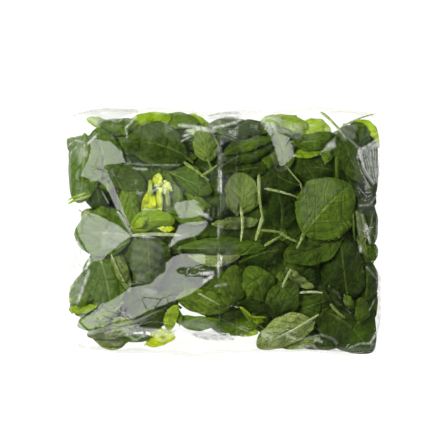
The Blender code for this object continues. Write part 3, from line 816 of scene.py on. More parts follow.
def stalk_form(length, width, draw, grid):
    """A loose stalk: a bent round rod, a little thinner towards one end."""
    t = np.linspace(-1.0, 1.0, grid[2])[None, :]
    s = (1 - np.cos(np.linspace(0.0, math.pi, grid[1])))[:, None] / 2
    half = width / 2 * (1.0 - STALK_TAPER * s) * np.sqrt(np.clip(1 - (2 * s - 1) ** 6, 0.0, 1.0))
    along = (s - 0.5) * length + 0 * t
    across = half * t + draw.uniform(-STALK_BEND, STALK_BEND) * length * (4 * (s - 0.5) ** 2 - 1)
    depth = half * np.sqrt(np.clip(1 - t * t, 0.0, 1.0))
    return along, across, 0.3 * np.sin(0.5 * along), depth, s + 0 * t, t + 0 * s


def leaf_form(length, width, drop, stalk, draw, grid):
    """The leaf's middle surface before it is laid, as arrays (rows, points across): distance along and
    across, its own height, half its thickness there, and s along and t across in shares.

    The blade's half width is width / 2 * sin(pi s^p)^q. The halves fold along the midrib, the edges drop
    with t^2, the rim is ruffled by a sine along s, the skin is raised between the side veins, and bumps of
    two sizes run over it all.
    """
    t = np.linspace(-1.0, 1.0, grid[2])[None, :]
    blade = (1 - np.cos(np.linspace(0.12, math.pi, grid[1]))) / 2
    stem = np.linspace(-max(stalk, 1.5) / length, -0.015, grid[0])
    s = np.concatenate([stem, blade])[:, None]
    inner = np.clip(s, 0.0, 1.0)
    late, round_off = draw.uniform(*WIDEST_PLACES), draw.uniform(*BLUNTNESS)
    body = np.clip(np.sin(math.pi * inner**late), 0.0, 1.0) ** round_off
    stem_radius = STEM_RADIUS * (length / COMMON_BLADE) ** 0.5
    half = np.maximum(width / 2 * body, stem_radius * (1 - 0.75 * inner) * (1 - smooth_step(0.86, 1.0, s)))
    side = np.sign(t)
    slow, quick = LOBES
    lobes = slow * np.sin(5.1 * s + draw.uniform(0, 6)) * side + quick * np.sin(19 * s + 3 * side)
    along = (s - 0.5) * length + 0 * t
    sweep = draw.uniform(-SWAY, SWAY) * length
    across = half * t * (1 + lobes) + sweep * (2 * (s - 0.5)) ** 2
    broad = half / (width / 2)
    ruffle_heights, ruffle_counts = RUFFLES
    waves = np.sin(2 * math.pi * draw.uniform(*ruffle_counts) * s + draw.uniform(0, 6) + 1.3 * side)
    ruffle = draw.uniform(*ruffle_heights) * np.abs(t) ** 2.5 * broad * waves
    vein = np.abs((s * VEINS - VEIN_RISE * np.abs(t) ** 0.85 * broad + 0.4 * (t > 0)) % 1.0 * 2 - 1)
    quilt = RAISED * (1 - vein**2) * smooth_step(0.02, 0.30, np.abs(t)) * broad
    bumps = sum(high * ripple(along, across, draw, *waves) for high, *waves in BUMPS)
    fold = draw.uniform(*FOLDS) * np.abs(half * t)
    arch = draw.uniform(*ARCHES) * (2 * (s - 0.5)) ** 2
    height = ruffle + quilt + bumps * broad - fold - arch - 0.7 * drop * t * t * broad
    rib = stem_radius * (1 - 0.8 * inner) * np.exp(-((half * t / (1.3 * stem_radius)) ** 2))
    depth = np.maximum(LEAF_THICKNESS / 2, rib * 0.8) * np.sqrt(np.clip(1 - t**4, 0.0, 1.0))
    depth = np.minimum(depth, half + 0 * t) * (1 + 0 * s)
    return along, across, height, depth, s + 0 * t, t + 0 * s


def settle(limit, rounds=36):
    """The smoothest sheet under a limit: again and again the sheet's own average with its neighbours, and
    never above the limit."""
    sheet = limit.copy()
    for _ in range(rounds):
        ring = np.pad(sheet, 1, mode="edge")
        mean = (ring[:-2, 1:-1] + ring[2:, 1:-1] + ring[1:-1, :-2] + ring[1:-1, 2:]) / 4
        sheet = np.minimum(limit, mean)
    return sheet


def squeeze(value, limit):
    """Values that come near a limit are pressed together inside it, as leaves are at the bag's folds."""
    start = PRESSED_FROM * limit
    over = np.maximum(np.abs(value) - start, 0.0)
    pressed = start + (limit - start) * np.tanh(over / (limit - start))
    return np.sign(value) * np.where(over > 0, pressed, np.abs(value))


def finer(grid, times=2):
    """The grid with the points between its points filled in, so many times over."""
    for _ in range(times):
        rows, columns = grid.shape
        wide = np.empty((rows, columns * 2 - 1))
        wide[:, ::2], wide[:, 1::2] = grid, (grid[:, 1:] + grid[:, :-1]) / 2
        grid = np.empty((rows * 2 - 1, columns * 2 - 1))
        grid[::2], grid[1::2] = wide, (wide[1:] + wide[:-1]) / 2
    return grid


def cells_of(x, y):
    """Row and column of the plan cell nearest to each point."""
    row = np.clip(np.round((y - ALONG[0]) / CELL).astype(int), 0, len(ALONG) - 1)
    column = np.clip(np.round((x - ACROSS[0]) / CELL).astype(int), 0, len(ACROSS) - 1)
    return row, column


class Heap:
    """The space left in the bag: a ceiling that each leaf laid from above lowers, and a floor that each
    leaf laid from below raises. It gathers the leaves' meshes by kind."""

    def __init__(self):
        self.ceiling = UPPER_FILM - FILM_GAP
        self.floor = LOWER_FILM + FILM_GAP
        self.found = {kind: [] for kind in KINDS}

    def lay(self, leaf, draw, hidden=False, upside=False):
        """Lays one leaf: its middle surface is turned to its heading, hung from the smoothed ceiling or,
        upside, stood on the smoothed floor, kept between the two films, and then takes up its room."""
        kind, face, x, y, heading, length, width, drop, stalk, tone = leaf
        grid = HIDDEN_GRID if hidden else SEEN_GRID
        if width < LOOSE_STALK:
            along, across, own, depth, s, t = stalk_form(length, width, draw, grid)
        else:
            along, across, own, depth, s, t = leaf_form(length, width, drop, stalk, draw, grid)
        own = -own if upside else own
        turn = math.radians(heading)
        plan_x = squeeze(x + along * math.cos(turn) - across * math.sin(turn), WIDTH / 2 - SIDE_GAP)
        plan_y = squeeze(y + along * math.sin(turn) + across * math.cos(turn), LENGTH / 2 - SIDE_GAP)
        ceiling = read_field(self.ceiling, plan_x, plan_y) - depth
        floor = read_field(self.floor, plan_x, plan_y) + depth
        if upside:
            z = -settle(-floor) + own - own.min()
            z = np.minimum(z, np.maximum(ceiling, floor))
        else:
            z = settle(ceiling) + own - own.max()
            z = np.maximum(z, np.minimum(floor, ceiling))
        lowest = read_field(LOWER_FILM, plan_x, plan_y) + depth + CLEARANCE
        highest = read_field(UPPER_FILM, plan_x, plan_y) - depth - CLEARANCE
        middle = (lowest + highest) / 2
        z = np.clip(z, np.minimum(lowest, middle), np.maximum(highest, middle))
        tones = (tone, draw.uniform())
        self.found[kind].append(self.skin(plan_x, plan_y, z, depth, s, t, face, tones))
        row, column = cells_of(finer(plan_x), finer(plan_y))
        if upside:
            np.maximum.at(self.floor, (row, column), finer(z + depth) + LAYER_GAP)
        else:
            np.minimum.at(self.ceiling, (row, column), finer(z - depth) - LAYER_GAP)

    @staticmethod
    def skin(x, y, z, depth, s, t, face, tones):
        """Closes the middle surface into a solid leaf: each row becomes a ring over the top and back under
        the bottom, the first row is capped by a point and the last one closes on the tip. Each point keeps
        the leaf's tone, whether it is on the under side, and the leaf's own drawn number."""
        middle = np.stack([x, y, z], axis=-1)
        normal = np.cross(np.gradient(middle, axis=0), np.gradient(middle, axis=1))
        normal /= np.maximum(np.linalg.norm(normal, axis=-1, keepdims=True), 1e-9)
        normal *= np.sign(normal[..., 2:3].mean() or 1.0)
        offset = normal * depth[..., None]
        top, base = middle + offset, middle - offset
        rings = np.concatenate([top, base[:, -2:0:-1]], axis=1)[:-1]
        share = np.stack([s, t], axis=-1)
        shares = np.concatenate([share, share[:, -2:0:-1]], axis=1)[:-1]
        sides = x.shape[1]
        is_under = np.tile(np.concatenate([np.zeros(sides), np.ones(sides - 2)]), (len(rings), 1))
        is_under = is_under if face == UPPER else 1 - is_under
        ends = [middle[0].mean(axis=0), middle[-1].mean(axis=0)]
        end_shares = [[s[0, 0], 0.0], [s[-1, 0], 0.0]]
        rows, columns = rings.shape[:2]
        faces = grid_faces(rows, columns, wrap=True)
        first, last = rows * columns, rows * columns + 1
        j = np.arange(columns)
        k = (j + 1) % columns
        final = (rows - 1) * columns
        caps = [
            np.stack([np.full(columns, first), k, j], axis=-1),
            np.stack([np.full(columns, last), j + final, k + final], axis=-1),
        ]
        points = np.concatenate([rings.reshape(-1, 3), ends])
        uv = np.concatenate([shares.reshape(-1, 2), end_shares])
        colour = np.empty((len(points), 4))
        tone, own = tones
        colour[:] = (tone, 0.0, 0.0, own)
        colour[:-2, 1] = is_under.ravel()
        corner = points[faces[:, 0]]
        crossed = np.cross(points[faces[:, 1]] - corner, points[faces[:, 3]] - corner)
        up_side = np.tile(np.arange(columns) < sides - 1, rows - 1)
        if crossed[up_side, 2].sum() < 0:
            faces, caps = faces[:, ::-1], [cap[:, ::-1] for cap in caps]
        return points, faces, np.concatenate(caps), uv, colour

    def piece(self, kind, name, material):
        """All leaves of one kind as one mesh object."""
        points, faces, uv, colour = [], [], [], []
        start = 0
        for leaf_points, quads, triangles, leaf_uv, leaf_colour in self.found[kind]:
            points.append(leaf_points)
            faces += (quads + start).tolist() + (triangles + start).tolist()
            uv.append(leaf_uv)
            colour.append(leaf_colour)
            start += len(leaf_points)
        points, uv, colour = (np.concatenate(rows) for rows in (points, uv, colour))
        return make_piece(name, points, faces, material, uv, colour)


def room_at(x, y):
    """How far a plan point is from the heap's outline and from its clear spots; negative outside."""
    here = np.array([x]), np.array([y])
    room = from_border(HEAP_OUTLINE, *here)[0]
    room = room if inside(HEAP_OUTLINE, *here)[0] else -room
    return min(room, *(math.hypot(x - cx, y - cy) - radius for cx, cy, radius in CLEAR_SPOTS))


def fill_heap():
    """Lays the leaves seen against the film, then hidden ones under them, then those on the under side. A
    hidden leaf is no longer than the room round it allows."""
    heap = Heap()
    draw = np.random.default_rng(FILL_SEED)
    for leaf in LAID:
        heap.lay(leaf, draw)
    for count, upside, longest, gap in FILLS:
        laid = 0
        while laid < count:
            x, y, heading, share, shape, drop, tone = draw.uniform(FILL_LEAST, FILL_MOST)
            kind = KINDS[int(draw.choice(3, p=FILL_MIX))]
            face = UPPER if draw.uniform() < FACE_UP else UNDER
            room = room_at(x, y) - gap
            if room > LEAST_ROOM and (longest > RIM_LEAF or room < RIM_ROOM):
                length = min(longest * share, 2 * room)
                stalk = min(room * STALK_SHARE, LONGEST_STALK)
                leaf = (kind, face, x, y, heading, length, length * shape, drop, stalk, tone)
                heap.lay(leaf, draw, True, upside)
                laid += 1
    return heap


# ---------------------------------------------------------------- materials


class Wire:
    """A shader socket in a Python expression: each operator adds its Math node."""

    def __init__(self, tree, socket):
        self.tree, self.socket = tree, socket

    def maths(self, operation, *others, **settings):
        """The Math node with this operation on the socket and the others."""
        return self.tree.add("ShaderNodeMath", {"operation": operation, **settings}, [self, *others])

    def __add__(self, other):
        return self.maths("ADD", other)

    def __sub__(self, other):
        return self.maths("SUBTRACT", other)

    def __rsub__(self, other):
        return self.tree.add("ShaderNodeMath", {"operation": "SUBTRACT"}, [other, self])

    def __mul__(self, other):
        return self.maths("MULTIPLY", other)

    def __pow__(self, other):
        return self.maths("POWER", other)

    def __mod__(self, other):
        return self.maths("FLOORED_MODULO", other)

    __radd__, __rmul__ = __add__, __mul__

    def also(self, number):
        """Another output of the same node."""
        return Wire(self.tree, self.socket.node.outputs[number])

    def abs(self):
        return self.maths("ABSOLUTE")

    def clamp(self):
        """Kept between 0 and 1."""
        return self.maths("ADD", 0.0, use_clamp=True)

    def step(self, low, high):
        """0 at low, 1 at high, smooth between; low may be above high."""
        values = {"Value": self, "From Min": low, "From Max": high}
        return self.tree.add("ShaderNodeMapRange", {"interpolation_type": "SMOOTHSTEP"}, values)


class Tree:
    """A material's node tree, cleared, with one method that adds any node."""

    def __init__(self, name):
        self.material = bpy.data.materials.new(name)
        self.material.use_nodes = True
        self.nodes = self.material.node_tree.nodes
        self.links = self.material.node_tree.links
        self.nodes.clear()

    def add(self, kind, settings=None, values=None, output=0):
        """Adds a node, makes its settings, then gives its sockets their numbers or links. values is a list
        in the sockets' order or a dict by name or number. Returns the output asked for."""
        node = self.nodes.new(kind)
        for name, value in (settings or {}).items():
            setattr(node, name, value)
        pairs = values.items() if isinstance(values, dict) else enumerate(values or ())
        for key, value in pairs:
            if isinstance(value, Wire):
                self.links.new(value.socket, node.inputs[key])
            elif value is not None:
                node.inputs[key].default_value = value
        return Wire(self, node.outputs[output])

    def mix(self, factor, first, second):
        """The first colour where the factor is 0 and the second where it is 1."""
        first = first if isinstance(first, Wire) else (*first, 1.0)
        second = second if isinstance(second, Wire) else (*second, 1.0)
        return self.add("ShaderNodeMix", {"data_type": "RGBA"}, {0: factor, 6: first, 7: second}, 2)

    def noise(self, vector, scale, detail=2.0):
        """Soft patches from 0 to 1; detail is how many times finer ones are added."""
        return self.add("ShaderNodeTexNoise", {}, {"Vector": vector, "Scale": scale, "Detail": detail})

    def voronoi(self, vector, scale):
        """Distance to the edges of uneven cells."""
        values = {"Vector": vector, "Scale": scale, "Randomness": 0.9}
        return self.add("ShaderNodeTexVoronoi", {"feature": "DISTANCE_TO_EDGE"}, values)

    def finish(self, shader):
        """Joins the shader to the material's output and returns the material."""
        output = self.nodes.new("ShaderNodeOutputMaterial")
        self.links.new(shader.socket, output.inputs["Surface"])
        return self.material


# Scales of the textures on a leaf, in patches or cells a metre
CREASE_CELLS, BLOTCHES, VEIN_WOBBLE = 48.0, 70.0, 90.0
BLISTER_CELLS, GRAINS, NET_CELLS = 150.0, 260.0, 430.0
# and on the film
FILM_PATCHES, FILM_FOLDS, FILM_CREASES, FILM_RIPPLES = 16.0, 26.0, 75.0, 90.0
LEAF_RELIEF = 0.0012  # metres
FILM_RELIEF = 0.00012
WHITE = (1.0, 1.0, 1.0, 1.0)
CLEAR_TINT = (0.97, 0.972, 0.955, 1.0)  # what the film lets through
# A pale mark's colour is a painted highlight, with a little real whitening of the crease; a grey mark's
# colour is painted shade
CREASE_WHITE_AND_HIGHLIGHT = (0.55, 0.57, 0.52)  # colour of a pale mark
PAINTED_SHADE_GREY = (0.19, 0.20, 0.18)  # and of a grey one
MIRRORED = 0.08  # share of the light that the film mirrors when seen square on


def leaf_material(name, upper, light, under, rib, glow, glow_share, roughness):
    """A leaf skin: blistered between the veins, darker on its upper face, paler and duller beneath, with a
    pale midrib, side veins that curve to the tip and a fine net, and light that shines through from
    behind."""
    tree = Tree(name)
    place = tree.add("ShaderNodeTexCoord", output=3)
    leaf_map = tree.add("ShaderNodeUVMap", {"uv_map": "Leaf"})
    split = tree.add("ShaderNodeSeparateXYZ", {}, {0: leaf_map})
    s, t = split, split.also(1)
    tones = tree.add("ShaderNodeAttribute", {"attribute_name": "tones"})
    parts = tree.add("ShaderNodeSeparateColor", {}, {0: tones})
    tone, is_under, own = parts, parts.also(1), tones.also(3)
    blotch = tree.noise(place, BLOTCHES, 5.0)
    side = t.abs()
    midrib = (side + s.clamp() * 0.03).step(0.085, 0.025)
    stalk = s.step(0.03, -0.02)
    curve = s * VEINS - side**0.85 * VEIN_RISE + t.step(-0.01, 0.01) * 0.4
    curve = curve + tree.noise(place, VEIN_WOBBLE) * 0.5
    vein = ((curve % 1.0) * 2.0 - 1.0).abs().step(0.80, 1.0) * side.step(1.0, 0.55)
    grain = tree.noise(place, GRAINS, 4.0)
    blisters = tree.voronoi(place, BLISTER_CELLS)
    dome = blisters.step(0.0, 0.42)
    net = tree.voronoi(place, NET_CELLS).step(0.16, 0.0)
    creased = tree.voronoi(place, CREASE_CELLS).step(0.07, 0.0)
    # Painted light: one half of the blade is lighter than the other, as light falls on a folded leaf, and the
    # blade runs darker towards one end; a painted highlight lies along the rim; and the blister tops are
    # lighter, a painted sheen
    drift = (s - 0.5) * (own - 0.5) * 0.7 + t.step(-0.04, 0.04) * (0.22 - own * 0.44)
    rim = side.step(0.90, 1.0) * 0.30
    shade = tone * 0.85 + blotch * 1.4 + grain * 1.5 + dome * 0.2 + drift + rim - 1.51
    face = tree.mix(shade.clamp(), upper, light)
    face = tree.mix(vein * 0.40 + creased * 0.12, face, rib)
    face = tree.mix(net * 0.12, face, rib)
    back = tree.mix((tone * 0.9 + blotch * 0.4 - 0.2).clamp(), under, light)
    back = tree.mix(vein * 0.50 + net * 0.14, back, rib)
    colour = tree.mix(is_under, face, back)
    colour = tree.mix((midrib * 0.8 + stalk).clamp(), colour, rib)
    relief = dome * 0.8 - vein * 0.9 - net * 0.22 - creased * 0.7 + grain * 0.9
    relief = relief + midrib * is_under * 1.2 - midrib * 0.5
    bump = tree.add("ShaderNodeBump", {}, {"Strength": 1.0, "Distance": LEAF_RELIEF, "Height": relief})
    gloss = (blotch * 0.25 + is_under * 0.15 + roughness - 0.12).clamp()
    values = {"Base Color": colour, "Roughness": gloss, "Specular IOR Level": 0.35, "Normal": bump}
    skin = tree.add("ShaderNodeBsdfPrincipled", {}, values)
    through = tree.add("ShaderNodeBsdfTranslucent", {}, {"Color": (*glow, 1.0)})
    return tree.finish(tree.add("ShaderNodeMixShader", {}, [glow_share, skin, through]))


def film_material():
    """Clear film: it lets light through and mirrors a little of it, more at a glancing angle. Over its marks
    a pale shader paints highlights and shade, and the lower film mirrors less, standing in for the shade
    under the bag.
    """
    tree = Tree("clear film")
    place = tree.add("ShaderNodeTexCoord", output=3)
    patches = tree.noise(place, FILM_PATCHES).step(0.46, 0.60)
    fold = tree.voronoi(place, FILM_FOLDS).step(0.022, 0.0) * patches
    fine = tree.voronoi(place, FILM_CREASES).step(0.045, 0.0) * patches
    wrinkle = tree.noise(place, FILM_RIPPLES, 3.0) + fold * 0.55 + fine * 0.35
    bump = tree.add("ShaderNodeBump", {}, {"Strength": 1.0, "Distance": FILM_RELIEF, "Height": wrinkle})
    values = {"Color": WHITE, "Roughness": 0.09, "Normal": bump}
    mirror = tree.add("ShaderNodeBsdfGlossy", {}, values)
    clear = tree.add("ShaderNodeBsdfTransparent", {}, {"Color": CLEAR_TINT})
    facing = tree.add("ShaderNodeLayerWeight", {}, {"Blend": 0.5}, 1)
    tones = tree.add("ShaderNodeAttribute", {"attribute_name": "tones"})
    painted_marks = tree.add("ShaderNodeSeparateColor", {}, {0: tones})
    grey, below = painted_marks.also(1), painted_marks.also(2)
    # The lower film mirrors less: this stands in for the shade that the bag would cast on the glowing table
    share = ((facing**4.0 * 0.9 + MIRRORED) * (1.0 - below * 0.7)).clamp()
    glassy = tree.add("ShaderNodeMixShader", {}, [share, clear, mirror])
    # Painted highlights over the pale marks and painted shade over the grey ones, and faintly along the
    # bump's folds too
    colour = tree.mix(grey, CREASE_WHITE_AND_HIGHLIGHT, PAINTED_SHADE_GREY)
    pale = tree.add("ShaderNodeBsdfPrincipled", {}, {"Base Color": colour, "Roughness": 0.4})
    return tree.finish(tree.add("ShaderNodeMixShader", {}, [(painted_marks + fold * 0.02).clamp(), glassy, pale]))


def plain_material(name, colour, roughness, glow):
    """One colour, a touch uneven, that gives off some white light of its own."""
    tree = Tree(name)
    place = tree.add("ShaderNodeTexCoord", output=3)
    shade = tree.mix(tree.noise(place, 3.0) * 0.05, colour, tuple(0.9 * part for part in colour))
    values = {
        "Base Color": shade, "Roughness": roughness, "Emission Color": WHITE, "Emission Strength": glow,
    }
    return tree.finish(tree.add("ShaderNodeBsdfPrincipled", {}, values))


# Colours of the upper face, of its light patches, of the under side, of the veins, and of the light that
# shines through; the share of that light; and the roughness
LEAF_SKINS = {
    # Leaves lying deep in the heap: a near-black copy of the leaf skin, darkened as painted shade
    "deep": (
        (0.012, 0.026, 0.0015), (0.058, 0.100, 0.008), (0.060, 0.100, 0.015), (0.100, 0.155, 0.025),
        (0.35, 0.55, 0.012), 0.26, 0.46,
    ),
    "fresh": (
        (0.050, 0.098, 0.005), (0.130, 0.205, 0.016), (0.150, 0.215, 0.040), (0.22, 0.30, 0.07),
        (0.48, 0.70, 0.02), 0.34, 0.46,
    ),
    "pale": (
        (0.100, 0.150, 0.022), (0.260, 0.330, 0.090), (0.150, 0.205, 0.050), (0.36, 0.43, 0.17),
        (0.50, 0.62, 0.06), 0.24, 0.55,
    ),
    "lime": (
        (0.180, 0.290, 0.010), (0.360, 0.470, 0.040), (0.310, 0.410, 0.050), (0.46, 0.58, 0.12),
        (0.80, 0.95, 0.08), 0.50, 0.50,
    ),
    # Yellow leaves: their bright skin partly stands in for the light shining up through them, painted light
    "gold": (
        (0.620, 0.700, 0.002), (0.840, 0.900, 0.260), (0.560, 0.680, 0.060), (0.72, 0.80, 0.25),
        (0.90, 0.98, 0.06), 0.45, 0.50,
    ),
    "stalk": (
        (0.200, 0.280, 0.060), (0.520, 0.580, 0.300), (0.360, 0.440, 0.160), (0.40, 0.46, 0.20),
        (0.60, 0.70, 0.25), 0.15, 0.42,
    ),
}


# ---------------------------------------------------------------- the operators

RIM_STEP = 0.2  # least height of either film from the rim
SEAL_REACH = 0.985  # share of the half width that the strips cover
SEAL_GRID = (220, 30)  # points across and down
SEAL_CRIMP = (0.22, 5)  # depth and number of the ridges that run along a strip
SEAL_WAVE = (0.8, 9)  # depth and number of the waves in its free edge
SEAL_THICKNESS = 0.2
FIN_ENDS = (-0.84, 0.93)  # shares of the half length
FIN_GRID = (16, 180)  # points across and along
FIN_LIFT = 0.25  # above the film
FIN_BEAD = (0.2, 2.6)  # height and half width of the rise along the fold
FIN_THICKNESS = 0.15
CORE_HALVES = (0.62, 0.57)  # half sizes of the pressed middle, as shares of the bag's
CORE_SHIFT = 0.05  # and how far it lies from the middle along the bag
CORE_GRID = (90, 72)
CORE_RIM = 16  # height of its rim
CORE_GAPS = (10, 4)  # room left above and below it, its lumps apart
TABLE_SIZE = 8.0  # metres
TABLE_DROP = 0.0006  # below the bag
TABLE_COLOUR = (0.08, 0.08, 0.08)
TABLE_ROUGHNESS = 0.6
ROOM_LIGHT = 0.03  # strength of the white light from all round
SENSOR = 36.0  # width of the camera's picture in its own millimetres


class SpinachFilm(bpy.types.PropertyGroup):
    """What a user may change of the film"""

    fineness: bpy.props.IntProperty(
        name="Cells across", description="Mesh cells across the film", default=240, min=40
    )


class SPINACH_OT_film(bpy.types.Operator):
    """Makes the film: one closed pillow of tight facets and creases"""

    bl_idname = "spinach.film"
    bl_label = "Film"

    def execute(self, context):
        columns = context.scene.spinach_film.fineness
        rows = int(columns * LENGTH / WIDTH)
        u, v = np.meshgrid(np.linspace(-1, 1, columns + 1), np.linspace(-1, 1, rows + 1))
        rim = np.maximum(np.abs(u), np.abs(v)) == 1

        def upper(x, y):
            height = np.maximum(read_field(UPPER_FILM, x, y), RIM_HEIGHT + RIM_STEP)
            return np.where(rim, RIM_HEIGHT, height)

        def lower(x, y):
            height = np.minimum(lower_film(x, y), RIM_HEIGHT - RIM_STEP)
            return np.where(rim, RIM_HEIGHT, height)

        points, faces = pillow_mesh(u, v, upper, lower)
        # The painted highlights and painted shade of the marks, on the upper film only, and which points lie
        # on the lower film, which mirrors less as painted shade
        painted_marks, grey = painted_film_marks(points[:, 0], points[:, 1])
        painted_marks[u.size:] = 0.0
        below = points[:, 2] < RIM_HEIGHT - RIM_STEP / 2
        tones = np.stack([painted_marks, grey, below, np.ones_like(painted_marks)], axis=-1)
        film = make_piece("film", points, faces, film_material(), colour=tones)
        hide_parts("bag")
        return {"FINISHED"}


class SPINACH_OT_seals(bpy.types.Operator):
    """Makes the crimped strips of the end seals, turned down under the bag's ends"""

    bl_idname = "spinach.seals"
    bl_label = "End seals"

    def execute(self, context):
        columns, rows = SEAL_GRID
        u, out = np.meshgrid(np.linspace(-SEAL_REACH, SEAL_REACH, columns), np.linspace(0, 1, rows))
        crimp_depth, ridges = SEAL_CRIMP
        wave_depth, waves = SEAL_WAVE
        points, faces = [], []
        start = 0
        for end in (-1, 1):
            x, y = outline(u, np.full_like(u, float(end)))
            crimp = crimp_depth * np.sin(2 * math.pi * ridges * out) * smooth_step(0.0, 0.1, out)
            wave = wave_depth * np.sin(waves * math.pi * u + end)
            y = y + end * (SEAL_THICKNESS + crimp - SEAL_TUCK * out + wave * out)
            surface = np.stack([x, y, RIM_HEIGHT - SEAL_DROP * out], axis=-1)
            skin, cells = slab_mesh(surface if end < 0 else surface[:, ::-1], SEAL_THICKNESS)
            points.append(skin)
            faces.append(cells + start)
            start += len(skin)
        material = bpy.data.materials["clear film"]
        seals = make_piece("end_seals", np.concatenate(points), np.concatenate(faces).tolist(), material)
        return {"FINISHED"}


class SPINACH_OT_fin(bpy.types.Operator):
    """Makes the fin of the lengthwise seam, folded flat on the upper film"""

    bl_idname = "spinach.fin"
    bl_label = "Lengthwise fin"

    def execute(self, context):
        columns, rows = FIN_GRID
        across, along = np.meshgrid(np.linspace(0, 1, columns), np.linspace(*FIN_ENDS, rows))
        y = along * LENGTH / 2
        x = FIN_START + FIN_WIDTH * across + 0.5 * np.sin(0.11 * y) + 0.4 * across * np.sin(0.31 * y)
        rise, half = FIN_BEAD
        bead = np.clip(1 - np.abs(across * FIN_WIDTH - half) / half, 0, 1)
        fold = rise * bead * np.sin(0.087 * y + 1) ** 2
        free_edge = 0.08 * smooth_step(0.75, 1.0, across) * (1 + np.sin(0.43 * y))
        z = read_field(UPPER_FILM, x, y) + FIN_LIFT + fold + free_edge
        points, faces = slab_mesh(np.stack([x, y, z], axis=-1), FIN_THICKNESS)
        fin = make_piece("seam_fin", points, faces.tolist(), bpy.data.materials["clear film"])
        return {"FINISHED"}


class SPINACH_OT_leaves(bpy.types.Operator):
    """Lays all the leaves and makes one piece of each kind"""

    bl_idname = "spinach.leaves"
    bl_label = "Leaves"

    def execute(self, context):
        heap = fill_heap()
        for kind in KINDS:
            material = leaf_material(kind + " leaf", *LEAF_SKINS[kind])
            name = "loose_stalks" if kind == "stalk" else "leaves_" + kind
            piece = heap.piece(kind, name, material)
        return {"FINISHED"}


class SPINACH_OT_core(bpy.types.Operator):
    """Makes the dark pressed middle of the heap, under the leaves that can be seen"""

    bl_idname = "spinach.core"
    bl_label = "Pressed middle"

    def execute(self, context):
        columns, rows = CORE_GRID
        half_u, half_v = CORE_HALVES
        over, under = CORE_GAPS
        u, v = np.meshgrid(np.linspace(-half_u, half_u, columns), np.linspace(-half_v, half_v, rows))
        share = np.clip(1 - np.maximum((u / half_u) ** 6, (v / half_v) ** 6), 0, 1) ** 0.5

        def upper(x, y):
            lumps = 1.4 * np.sin(0.21 * x + 1.7 * np.sin(0.13 * y)) * np.sin(0.18 * y)
            return CORE_RIM + (read_field(UPPER_FILM, x, y) - over - CORE_RIM + lumps) * share

        def lower(x, y):
            return CORE_RIM - (CORE_RIM - lower_film(x, y) - under) * share

        points, faces = pillow_mesh(u, v + CORE_SHIFT, upper, lower)
        uv = np.tile([0.5, 0.5], (len(points), 1))
        # It wears the deep leaves' skin, darkened as painted shade
        colour = np.tile([0.6, 0.0, 0.0, 0.5], (len(points), 1))
        core = make_piece("pressed_middle", points, faces, bpy.data.materials["deep leaf"], uv, colour)
        return {"FINISHED"}


class SpinachStage(bpy.types.PropertyGroup):
    """What a user may change of the stage"""

    lamp_power: bpy.props.FloatProperty(
        name="Lamp power", description="Watts of a whole lamp", default=60.0, min=0.0
    )
    floor_glow: bpy.props.FloatProperty(
        name="Floor glow", description="Light of the lit table", default=1.13, min=0.0
    )


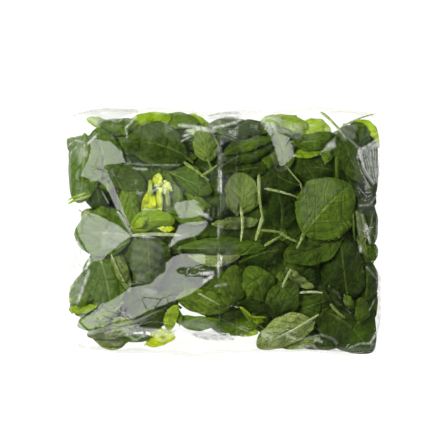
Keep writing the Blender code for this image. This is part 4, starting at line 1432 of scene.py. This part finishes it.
class SPINACH_OT_stage(bpy.types.Operator):
    """Sets the lit white table, the soft lamps and the camera straight above"""

    bl_idname = "spinach.stage"
    bl_label = "Stage"

    def execute(self, context):
        stage = context.scene.spinach_stage
        bpy.ops.mesh.primitive_plane_add(size=TABLE_SIZE, location=(0, 0, -TABLE_DROP))
        floor = context.active_object
        floor.name = "table"
        material = plain_material("white table", TABLE_COLOUR, TABLE_ROUGHNESS, stage.floor_glow)
        floor.data.materials.append(material)

        world = bpy.data.worlds.new("studio")
        world.use_nodes = True
        light = world.node_tree.nodes["Background"]
        light.inputs["Color"].default_value = WHITE
        light.inputs["Strength"].default_value = ROOM_LIGHT
        context.scene.world = world

        for name, (place, across, along, share, mirrored) in LAMPS.items():
            lamp = bpy.data.lights.new(name, "AREA")
            lamp.shape = "RECTANGLE"
            lamp.size, lamp.size_y = across * MM, along * MM
            lamp.energy = stage.lamp_power * share
            holder = bpy.data.objects.new(name, lamp)
            holder.visible_glossy = mirrored
            holder.location = [part * MM for part in place]
            holder.rotation_mode = "QUATERNION"
            holder.rotation_quaternion = holder.location.to_track_quat("Z", "Y")
            context.scene.collection.objects.link(holder)

        camera = bpy.data.cameras.new("camera")
        camera.sensor_width = SENSOR
        camera.lens = SENSOR * (CAMERA_PLACE[2] - HEIGHT / 2) / FRAME_WIDTH
        viewer = bpy.data.objects.new("camera", camera)
        viewer.location = [part * MM for part in CAMERA_PLACE]
        context.scene.collection.objects.link(viewer)
        context.scene.camera = viewer
        context.scene.view_settings.view_transform = "Standard"
        return {"FINISHED"}


class SPINACH_PT_panel(bpy.types.Panel):
    """Lists the pieces in the 3D view's sidebar"""

    bl_idname = "SPINACH_PT_panel"
    bl_label = "Bag of spinach"
    bl_space_type = "VIEW_3D"
    bl_region_type = "UI"
    bl_category = "Spinach"

    def draw(self, context):
        self.layout.prop(context.scene.spinach_film, "fineness")
        self.layout.prop(context.scene.spinach_stage, "lamp_power")
        self.layout.prop(context.scene.spinach_stage, "floor_glow")
        for operator in OPERATORS:
            self.layout.operator(operator.bl_idname)


GROUPS = (SpinachFilm, SpinachStage)
OPERATORS = (
    SPINACH_OT_film, SPINACH_OT_seals, SPINACH_OT_fin, SPINACH_OT_leaves, SPINACH_OT_core, SPINACH_OT_stage,
)
CLASSES = (*GROUPS, *OPERATORS, SPINACH_PT_panel)


def register():
    """Adds the classes, and a place for their settings on each scene."""
    for cls in CLASSES:
        bpy.utils.register_class(cls)
    bpy.types.Scene.spinach_film = bpy.props.PointerProperty(type=SpinachFilm)
    bpy.types.Scene.spinach_stage = bpy.props.PointerProperty(type=SpinachStage)


def unregister():
    """Takes away what register() added."""
    del bpy.types.Scene.spinach_stage
    del bpy.types.Scene.spinach_film
    for cls in reversed(CLASSES):
        bpy.utils.unregister_class(cls)


def main():
    """Builds all the pieces and the stage."""
    register()
    bpy.ops.spinach.film()
    bpy.ops.spinach.seals()
    bpy.ops.spinach.fin()
    bpy.ops.spinach.leaves()
    bpy.ops.spinach.core()
    bpy.ops.spinach.stage()


if __name__ == "__main__":
    main()
